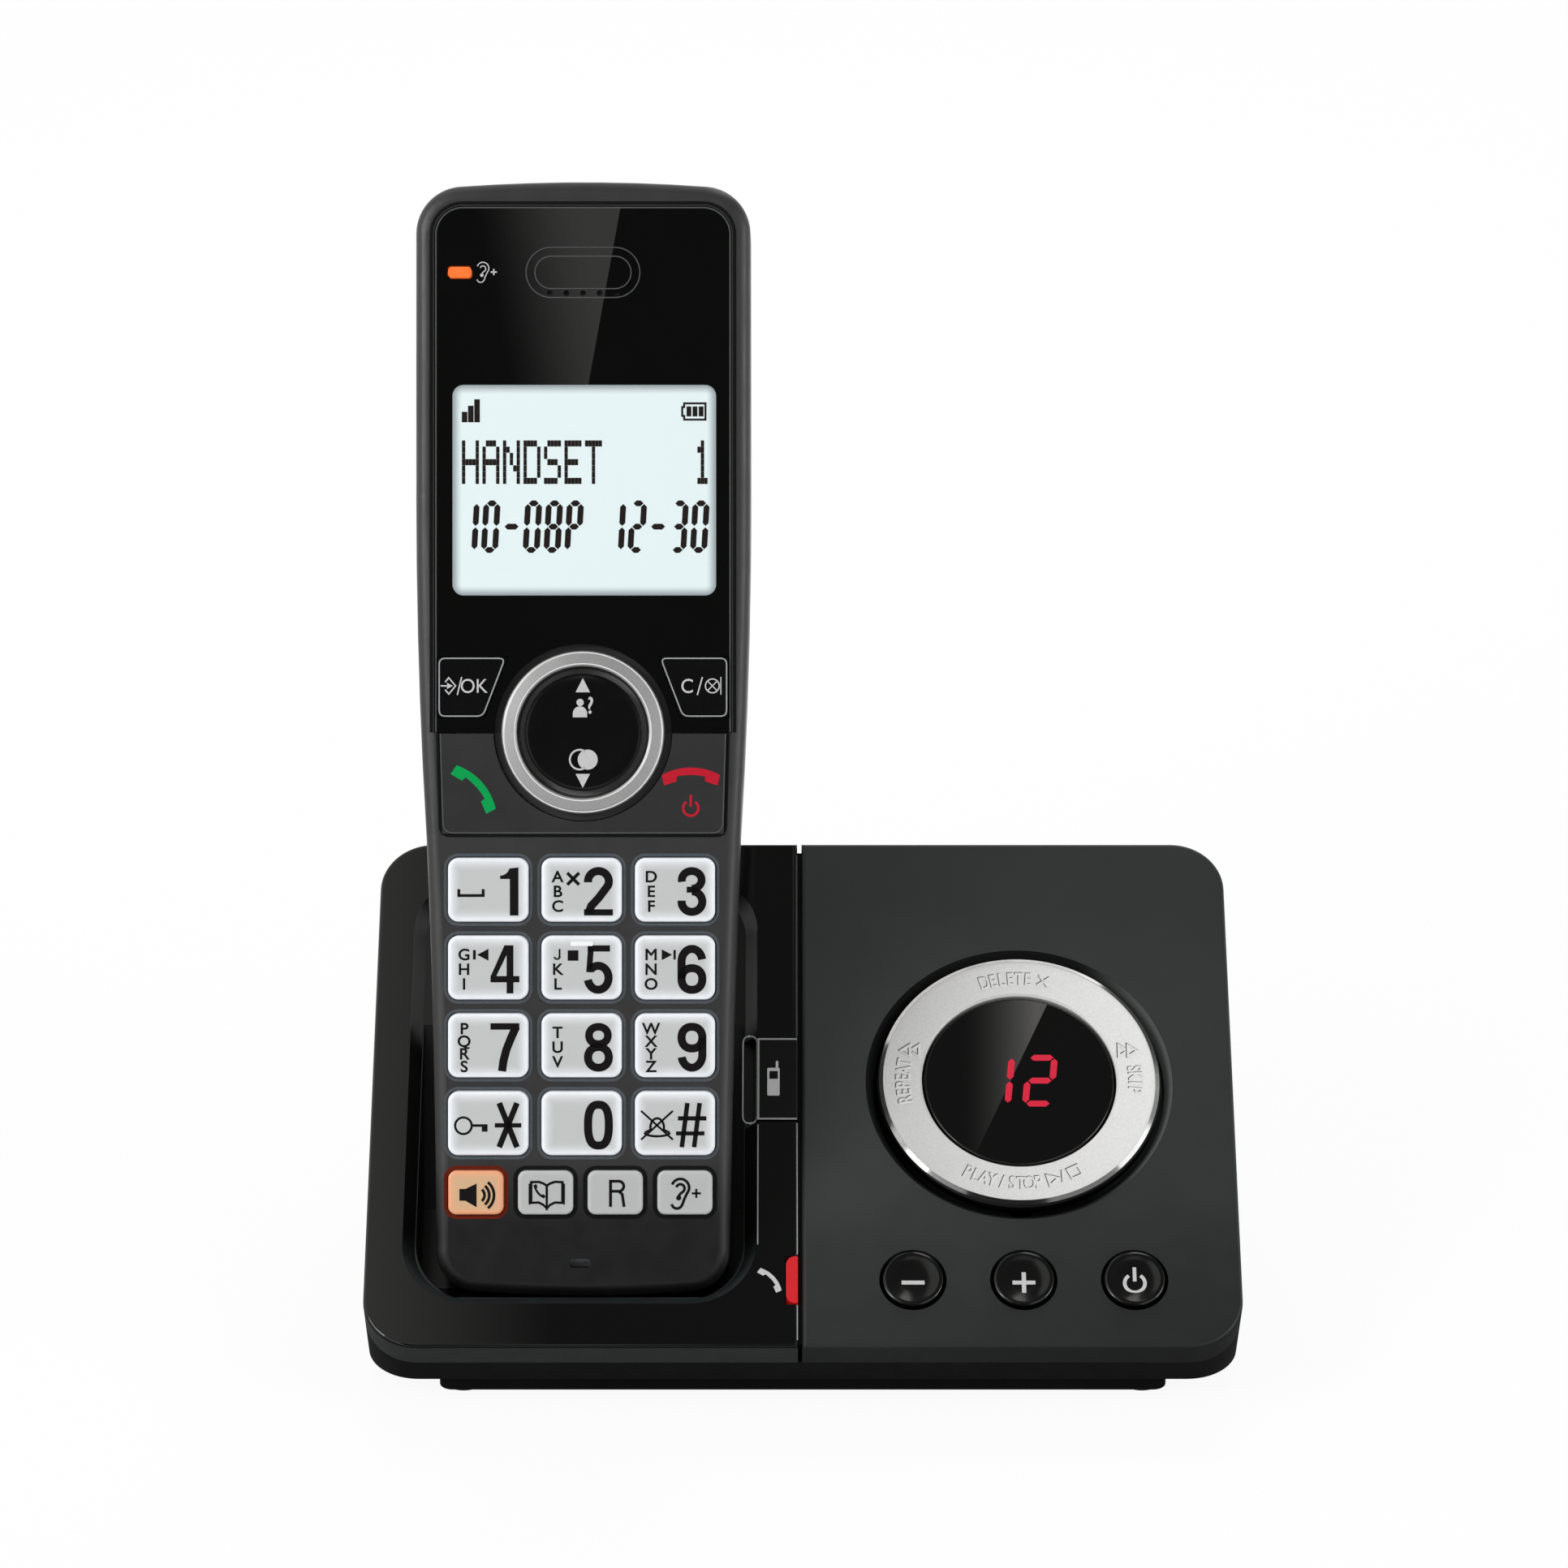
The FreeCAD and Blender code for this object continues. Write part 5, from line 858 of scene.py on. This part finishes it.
LENS_LINE = LENS_TOP + PRINT_LIFT
LENS_CORNER = 4.1
EARPIECE_Y = 151.3
EARPIECE_SIZE = (16.8, 7.4)
EARPIECE_GROOVE = 1.3


def lens_outline(grow):
    """The lens's free sides: up its left, over the top and down its right."""
    half, end, corner = lens.high.x + grow, lens.high.y + grow, LENS_CORNER + grow
    over = arc(corner - half, end - corner, corner, corner, 180, 90, 12)
    return [(-half, NAV_Y)] + over + [(-x, y) for x, y in over[::-1]] + [(half, NAV_Y)]


def stadium(inset):
    wide, tall = (side / 2 - inset for side in EARPIECE_SIZE)
    return rounded_box(-wide, EARPIECE_Y - tall, wide, EARPIECE_Y + tall, tall - 0.01, 16)


# painted shade in the groove round the lens, and painted highlights along the lens edge and the earpiece
case_lines("lens_groove_shade", GROOVE_SHADE, [stroke(lens_outline(0.55), 0.5)])
case_lines("lens_edge_highlight", FAINT_HIGHLIGHT, [stroke(lens_outline(-0.12), 0.2)], LENS_LINE)
case_lines("earpiece_highlights", FAINT_HIGHLIGHT,
           [stroke(stadium(inset), 0.16, True) for inset in (0.0, EARPIECE_GROOVE)], LENS_LINE)
marks("boost_light_sign", "handset", WHITE_INK, LENS_LINE, ear_sign(0.2), -14.4, 151.35, 0.76)

DISPLAY = (-19.28, 103.57, 19.67, 134.68)
DISPLAY_CORNER = 1.65


def display_face():
    """Lit window of the display: pale, and darker close to its frame, where the frame's shade is painted in.
    """
    material, tree, shader = new_material("display_glow")
    left, low, right, high = DISPLAY
    x = local(tree, HANDSET, 0, (left + right) / 2)
    y = local(tree, HANDSET, 1, (low + high) / 2)
    depth = inner_distance(tree, x, y, right - left, high - low, DISPLAY_CORNER)
    fade = spread(tree, depth, 0.0, 1.0, -0.1, 1.5, "SMOOTHSTEP")
    feed(shader, Base_Color=mixed(tree, "98a3a6", "deebec", fade), Roughness=0.3, Specular_IOR_Level=0.3,
         Emission_Color="dff0f2", Emission_Strength=spread(tree, fade, 0.0, 0.1, 0.0, 1.0))
    add_bump(tree, shader, noise(tree, 3.0), 0.02, 0.005)
    return material


marks("display_glow", "handset", display_face(), LENS_LINE, [[rounded_box(*DISPLAY, DISPLAY_CORNER)]])

# rows of each letter's dots, from the top down
DOTS = {
    "H": "10001 10001 10001 11111 10001 10001 10001",
    "A": "01110 10001 10001 11111 10001 10001 10001",
    "N": "10001 11001 10101 10101 10011 10001 10001",
    "D": "11110 10001 10001 10001 10001 10001 11110",
    "S": "01111 10000 10000 01110 00001 00001 11110",
    "E": "11111 10000 10000 11110 10000 10000 11111",
    "T": "11111 00100 00100 00100 00100 00100 00100",
    "1": "00100 01100 00100 00100 00100 00100 01110",
}
DOT_WIDE = 0.505
DOT_TALL = 0.922
DOT_GAP = 0.02
DOT_LETTER_PITCH = 6 * DOT_WIDE
DOT_TOP = 126.48
SEGMENTS = {"0": "abcdef", "1": "bc", "2": "abged", "3": "abgcd", "8": "abcdefg", "P": "abgef", "-": "g"}
SEGMENT_ENDS = {"a": (0, 2, 1, 2), "g": (0, 1, 1, 1), "d": (0, 0, 1, 0), "b": (1, 2, 1, 1),
                "c": (1, 1, 1, 0), "f": (0, 2, 0, 1), "e": (0, 1, 0, 0)}
SEGMENT_PITCH = 3.08
SEGMENT_LOW = 109.86


def dot_letter(letter, x):
    loops = []
    for row, bits in enumerate(DOTS[letter].split()):
        for column, bit in enumerate(bits):
            if bit == "1":
                left = x + column * DOT_WIDE
                high = DOT_TOP - row * DOT_TALL
                loops.append(box(left, high - DOT_TALL + DOT_GAP, left + DOT_WIDE - DOT_GAP, high))
    return loops


def segment_loops(sign, wide, tall, bar, gap, slant):
    """Seven-segment sign with its lower left corner at the origin."""
    half = bar / 2
    reach = 0.3 if sign == "-" else 1.0
    columns = (half * reach, wide - half * reach)
    rows = (half, tall / 2, tall - half)
    loops = []
    for name in SEGMENTS[sign]:
        from_column, from_row, to_column, to_row = SEGMENT_ENDS[name]
        a = Vector((columns[from_column], rows[from_row]))
        b = Vector((columns[to_column], rows[to_row]))
        along = (b - a).normalized()
        side = Vector((-along.y, along.x)) * half
        a += along * gap
        b -= along * gap
        taper = along * half
        points = [a, a + taper + side, b - taper + side, b, b - taper - side, a + taper - side]
        loops.append([(p.x + slant * p.y, p.y) for p in points])
    return loops


signal = [(-17.9, 130.7), (-16.98, 131.6), (-16.06, 132.55)]
battery = [(14.66, 130.1), (14.66, 131.4), (14.95, 131.4), (14.95, 131.95), (18.1, 131.95), (18.1, 129.55),
           (14.95, 129.55), (14.95, 130.1)]
lcd = [[box(left, 129.15, left + 0.82, top)] for left, top in signal]
lcd += [stroke(battery, 0.3, True), [box(left, 130.02, left + 0.7, 131.5) for left in (15.3, 16.2, 17.1)]]
lcd += [dot_letter(letter, -17.88 + i * DOT_LETTER_PITCH) for i, letter in enumerate("HANDSET")]
lcd.append(dot_letter("1", 16.4))
for word, start in (("10-08P", -18.18), ("12-30", 3.47)):
    lcd += [moved(segment_loops(sign, 2.52, 7.75, 0.86, 0.1, 0.055), start + i * SEGMENT_PITCH, SEGMENT_LOW)
            for i, sign in enumerate(word)]
marks("display_segments", "handset", SEGMENT_INK, LENS_TOP + 0.05, lcd)

# ---------- turned pieces ----------

BUTTON_RADIUS = 4.5
BUTTON_DEPTH = -2.0
DISH = ((0.0, -0.42), (0.4, -0.42), (0.6, -0.34), (0.74, -0.18), (0.83, -0.05), (0.88, 0.0), (0.94, -0.04),
        (0.98, -0.16), (1.0, -0.36))
button_profile = [(radius * BUTTON_RADIUS, BUTTON_RISE + drop) for radius, drop in DISH]
button_profile += [(BUTTON_RADIUS, BUTTON_DEPTH), (0.0, BUTTON_DEPTH)]
BUTTONS = (("volume_down_button", -1), ("volume_up_button", 0), ("answer_on_off_button", 1))
for node, column in BUTTONS:
    add_turned(node + "_cap", button_profile, FACE, RING_X + column * BUTTON_PITCH, BUTTON_Y, KEY_BLACK,
               node, node)

NAV_KEY = ((0.0, 0.44), (2.5, 0.45), (4.5, 0.49), (6.8, 0.56), (8.0, NAV_KEY_RISE), (8.35, 0.54),
           (8.65, 0.25), (8.65, -2.0), (0.0, -2.0))
NAV_TRIM = ((9.75, -0.7), (9.75, 0.85), (9.85, 1.0), (10.05, 1.09), (10.2, NAV_RISE), (10.32, 1.079),
            (11.48, 0.881), (11.6, 0.86), (11.82, 0.74), (11.98, 0.5), (NAV_RIM, 0.2), (NAV_RIM, -0.7))
add_turned("navigation_key_dish", NAV_KEY, HANDSET, 0, NAV_Y, KEY_BLACK, "navigation_key", "navigation_key")
add_turned("navigation_trim_ring", NAV_TRIM, HANDSET, 0, NAV_Y, NAV_METAL, "handset", "navigation_ring_trim",
           True)
# painted highlights along the top and the outer edge of the trim ring
for name, radius, height in (("navigation_trim_highlight", 10.12, NAV_RISE),
                             ("navigation_trim_edge_highlight", 11.78, 0.79)):
    case_lines(name, RING_HIGHLIGHT, [ring(0, NAV_Y, radius, 0.16)], height)

# ---------- marks on the base ----------

WINDOW_TOP = Measured("display_window", FACE).high.z
DIGIT_TALL = 8.9
DIGIT_WIDE = 4.8
digits = [moved(segment_loops(sign, DIGIT_WIDE, DIGIT_TALL, 1.0, 0.16, 0.1), x)
          for sign, x in (("1", -6.15), ("2", 0.3))]
marks("counter_digits", "base", COUNTER_RED, WINDOW_TOP + PRINT_LIFT, digits, RING_X,
      RING_Y - DIGIT_TALL / 2, place=FACE, slot="counter_red")

MARK_Y = BUTTON_Y - 0.55
PLUS_ARM = 1.7
MINUS_SIGN = [box(-PLUS_ARM, -0.32, PLUS_ARM, 0.32)]
CROSS = [(-0.3, -1.6), (0.3, -1.6), (0.3, -0.3), (1.6, -0.3), (1.6, 0.3), (0.3, 0.3), (0.3, 1.6),
         (-0.3, 1.6), (-0.3, 0.3), (-1.6, 0.3), (-1.6, -0.3), (-0.3, -0.3)]
BUTTON_SIGNS = ([MINUS_SIGN], [moved([CROSS], scale=1.06)],
                [moved(loops, 0.0, -0.1) for loops in power_sign(1.5, 0.54)])
for (node, column), parts in zip(BUTTONS, BUTTON_SIGNS):
    marks(node.replace("button", "mark"), node, WHITE_INK, BUTTON_RISE - 0.41, parts,
          RING_X + column * BUTTON_PITCH, MARK_Y, thickness=0.06, place=FACE)

FIND_RISE = find_key.high.z
HANDSET_SIGN = [[rounded_box(-5.32, 42.05, -3.46, 46.84, 0.2, 4), box(-5.01, 44.92, -3.73, 46.29)],
                [rounded_box(-4.05, 46.7, -3.67, 48.03, 0.15, 4)]]
marks("find_handset_mark", "find_handset_key", WHITE_INK, FIND_RISE + INK_LIFT, HANDSET_SIGN, place=FACE)
marks("in_use_sign", "base", WHITE_INK, INK_LIFT, [receiver_sign()], -4.8, 11.15, 0.56, -50, place=FACE)

# the seam between the two halves, filled with a dark strip as painted shade, and painted highlight lines
# along it
COVER_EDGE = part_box("cradle_cover")[1].x / MM
PANEL_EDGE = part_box("control_panel")[0].x / MM
FACE_END = 85.6
FIND_LEFT, FIND_LOW = find_key.low.xy
FIND_RIGHT, FIND_HIGH = find_key.high.xy
LINE_LEFT = COVER_EDGE - 0.16
NOTCH = box(-9.0, FIND_LOW - 0.45, -6.9, FIND_HIGH + 0.45)
KEY_EDGE = [(FIND_RIGHT - 0.12, FIND_HIGH - 0.2), (FIND_LEFT + 0.2, FIND_HIGH - 0.2),
            (FIND_LEFT + 0.2, FIND_LOW + 0.2), (FIND_RIGHT - 0.12, FIND_LOW + 0.2)]
marks("divider_seam", "base", GROOVE_SHADE, -1.6, [[box(COVER_EDGE - 0.1, 1.0, PANEL_EDGE + 0.1, FACE_END)]],
      thickness=1.2, place=FACE)
BASE_HIGHLIGHTS = (
    ("divider_highlight", FAINT_HIGHLIGHT, [[box(LINE_LEFT, FIND_HIGH + 0.4, COVER_EDGE, FACE_END - 1.0)]]),
    ("divider_highlight_low", BRIGHT_HIGHLIGHT, [[box(LINE_LEFT, 15.3, COVER_EDGE, FIND_LOW - 0.4),
                                      box(LINE_LEFT, 1.2, COVER_EDGE, 6.9)]]),
    ("find_key_notch_highlight", BRIGHT_HIGHLIGHT, [stroke(softened(NOTCH, 1.3), 0.2, True)]),
    ("pocket_side_highlight", BRIGHT_HIGHLIGHT, [[box(-6.8, 17.0, -6.62, FIND_LOW - 0.6)]]),
)
for name, material, parts in BASE_HIGHLIGHTS:
    marks(name, "base", material, 0.0, parts, thickness=LINE_THICK, place=FACE)
# a painted highlight along the find key's edges
marks("find_key_highlight", "find_handset_key", BRIGHT_HIGHLIGHT, FIND_RISE - 0.01, [stroke(KEY_EDGE, 0.28)],
      thickness=0.05, place=FACE)

TEXT_RADIUS = 17.6
RING_TEXT_TALL = 2.1
RING_LINE = 0.24
SKIP_X = 16.5
SKIP_Y = 5.05
SKIP_SIGN = (([(-0.37, -0.27), (-1.4, -1.0), (-1.4, 1.0), (-0.37, 0.27)], False),
             ([(0, -1.0), (0, 1.0), (1.4, 0)], True))
# words, the angle of their middle, the angle between letters, and whether their tops point outwards
RING_WORDS = (("DELETE", 95.6, 4.4, True), ("PLAY", 249.2, 4.2, False), ("/", 260.4, 4.2, False),
              ("STOP", 271.7, 4.2, False), ("SKIP", 0.3, 4.0, True), ("REPEAT", 180.8, 4.2, True))
# points of a line, whether it is closed, its angle on the ring and its own turn
RING_SIGNS = (([(-1.2, 0.0), (1.2, 0.0)], False, 76.8, 34), ([(-1.2, 0.0), (1.2, 0.0)], False, 76.8, -58),
              ([(-0.8, -0.9), (0.8, 0.0), (-0.8, 0.9)], True, 285.6, 15.6),
              ([(-0.3, -1.0), (0.3, 1.0)], False, 290.4, 20.4),
              (box(-0.85, -0.85, 0.85, 0.85), True, 296.8, 27))


def ring_legends(name, material, lift, shift, bold):
    """A copy of the ring key's legends, moved right and down by shift, with bold on each side of a line."""
    def place(angle):
        turn = math.radians(angle)
        return RING_X + TEXT_RADIUS * math.cos(turn) + shift, RING_Y + TEXT_RADIUS * math.sin(turn) - shift

    words = []
    for letters, middle, step, outward in RING_WORDS:
        way = -1 if outward else 1
        for i, letter in enumerate(letters):
            angle = middle + way * (i - (len(letters) - 1) / 2) * step
            words.append((letter, *place(angle), RING_TEXT_TALL, 0.72, bold, angle + way * 90))
    width = RING_LINE + 2 * bold
    parts = [moved(stroke(points, width, closed), *place(angle), 1.0, turn)
             for points, closed, angle, turn in RING_SIGNS]
    for side in (-1, 1):
        for points, closed in SKIP_SIGN:
            line = stroke([(side * x, y) for x, y in points], width, closed)
            parts.append(moved(line, RING_X + side * SKIP_X + shift, RING_Y + SKIP_Y - shift))
    marks(name, "ring", material, RING_TOP + lift, parts, words=words, thickness=0.05, place=FACE,
          slot="ring_metal")


# the engraved look: a copy in the ring's own metal lies between a painted shade copy and a painted highlight
# copy
ring_legends("ring_key_marks", RING_LEGEND_SHADE, 0.0, -0.07, 0.07)
ring_legends("ring_key_marks_highlight", RING_HIGHLIGHT, 0.01, 0.09, 0.03)
ring_legends("ring_key_marks_metal", SILVER, 0.03, 0.0, 0.0)

# ---------- camera ----------

CAMERA_PLACE = Vector((-2.8, -786.85, 449.03))
CAMERA_TILT = 65
camera = bpy.data.objects.new("camera", bpy.data.cameras.new("camera"))
scene.collection.objects.link(camera)
camera.data.sensor_width = 36.0
camera.data.lens = 133.66
camera.data.clip_start = 0.01
camera.location = CAMERA_PLACE * MM
camera.rotation_euler = (math.radians(CAMERA_TILT), 0, 0)
scene.camera = camera

# ---------- floor, surroundings and light; from here on lengths are metres ----------

FLOOR_REACH = 3.0
FLOOR_DROP = -0.00002
FLOOR_WHITE = 0.93
WORLD_LEVEL = 0.35


def bare_tree(owner):
    owner.use_nodes = True
    owner.node_tree.nodes.clear()
    return owner.node_tree


def shown_rays(tree):
    """1 for the rays that see the white surroundings at full strength, else 0."""
    path = add_node(tree, "ShaderNodeLightPath").outputs
    shown = calc(tree, "MAXIMUM", path["Is Camera Ray"], path["Is Transmission Ray"])
    return calc(tree, "MAXIMUM", shown, path["Is Glossy Ray"])


def put_out(tree, kind, share, plain, shown):
    """Sends a mix of two shaders to the output node."""
    mix = add_node(tree, "ShaderNodeMixShader", Fac=share)
    put(mix.inputs[1], plain.outputs[0])
    put(mix.inputs[2], shown.outputs[0])
    add_node(tree, kind, Surface=mix.outputs[0])


def level_sheet(name, corners, height, material):
    """A part of the stage: a sheet over (left, front, right, back)."""
    mesh = bpy.data.meshes.new(name)
    mesh.from_pydata([(x, y, height) for x, y in box(*corners)], [], [(0, 1, 2, 3)])
    mesh.materials.append(material)
    sheet = bpy.data.objects.new(name, mesh)
    scene.collection.objects.link(sheet)
    return sheet


floor = bpy.data.materials.new("floor")
tree = bare_tree(floor)
put_out(tree, "ShaderNodeOutputMaterial", calc(tree, "MULTIPLY", shown_rays(tree), FLOOR_WHITE),
        add_node(tree, "ShaderNodeBsdfDiffuse", Color=(0.9, 0.9, 0.9, 1)),
        add_node(tree, "ShaderNodeEmission", Color=(1, 1, 1, 1), Strength=1.0))
level_sheet("floor", (-FLOOR_REACH, -FLOOR_REACH, FLOOR_REACH, FLOOR_REACH), FLOOR_DROP, floor)

scene.world = bpy.data.worlds.new("surroundings")
tree = bare_tree(scene.world)
put_out(tree, "ShaderNodeOutputWorld", shown_rays(tree),
        add_node(tree, "ShaderNodeBackground", Color=(1, 1, 1, 1), Strength=WORLD_LEVEL),
        add_node(tree, "ShaderNodeBackground", Color=(1, 1, 1, 1), Strength=1.0))

TARGET = Vector((0, 0, 0.07))
LAMPS = (("left_softbox", (-0.75, -0.45, 0.65), (0.5, 0.5), 6.0),
         ("right_softbox", (0.8, -0.35, 0.5), (0.4, 0.6), 3.5),
         ("back_softbox", (0.0, 0.7, 0.7), (0.8, 0.3), 4.0))
for name, place, size, power in LAMPS:
    lamp = bpy.data.lights.new(name, "AREA")
    lamp.shape = "RECTANGLE"
    lamp.size, lamp.size_y = size
    lamp.energy = power
    holder = bpy.data.objects.new(name, lamp)
    scene.collection.objects.link(holder)
    holder.location = place
    holder.rotation_euler = (TARGET - Vector(place)).to_track_quat("-Z", "Y").to_euler()


def card(name, corners, height, material):
    """A sheet that only shows in reflections."""
    sheet = level_sheet(name, corners, height, material)
    for ray in ("camera", "diffuse", "shadow", "transmission", "volume_scatter"):
        setattr(sheet, "visible_" + ray, False)
    return sheet


def card_glow(tree, level):
    glow = add_node(tree, "ShaderNodeEmission", Color=(1.0, 0.98, 0.96, 1), Strength=level)
    add_node(tree, "ShaderNodeOutputMaterial", Surface=glow.outputs[0])


def card_lean(tree, tilt):
    """Position across a card along lines that lean by tilt, and the card's own axes."""
    split = add_node(tree, "ShaderNodeSeparateXYZ", Vector=own_place(tree)).outputs
    return calc(tree, "MULTIPLY_ADD", split["Y"], tilt, split["X"]), split


def card_material(name, dark, bright, edge, ramp, curve, fades):
    """Dark card with a lit band that ends at a slanted edge and fades away to its left and with height."""
    material = bpy.data.materials.new(name)
    tree = bare_tree(material)
    edge_at, edge_tilt = edge
    ramp_start, ramp_end, ramp_tilt = ramp
    lean, split = card_lean(tree, edge_tilt)
    rise = spread(tree, card_lean(tree, ramp_tilt)[0], 0.0, 1.0, ramp_start, ramp_end, curve[0])
    band = below(tree, lean, edge_at, calc(tree, "POWER", rise, curve[1]))
    level = calc(tree, "MULTIPLY", band, bright)
    for operation, axis, start, end, low, high in fades:
        level = calc(tree, operation, level, spread(tree, split[axis], low, high, start, end))
    card_glow(tree, calc(tree, "ADD", level, dark))
    return material


front_card = card("front_card", (-0.32, -0.25, 0.25, 0.35), 0.02,
                  card_material("front_card", 0.08, 0.84, (-0.0801, -0.181), (-0.0595, -0.0235, 0.2),
                                ("SMOOTHSTEP", 1.0), [("MULTIPLY", "Y", 0.045, 0.1, 0.2, 1.0)]))
front_card.matrix_world = Matrix.Translation(camera.location) @ camera.rotation_euler.to_matrix().to_4x4()
card("top_card", (-0.6, -0.35, 0.6, 0.6), 0.45,
     card_material("top_card", 0.14, 2.0, (0.0655, -0.476), (0.036, 0.053, 0.0),
                   ("LINEAR", 2.0), [("ADD", "X", -0.055, -0.095, 0.0, 0.65)]))

# a dark card on the floor before the object keeps the white floor out of its front edges
flag = bpy.data.materials.new("front_flag")
card_glow(bare_tree(flag), 0.1)
card("front_flag", (-0.5, -1.1, 0.5, 0.1), 0.0005, flag)

scene.view_settings.view_transform = "Standard"
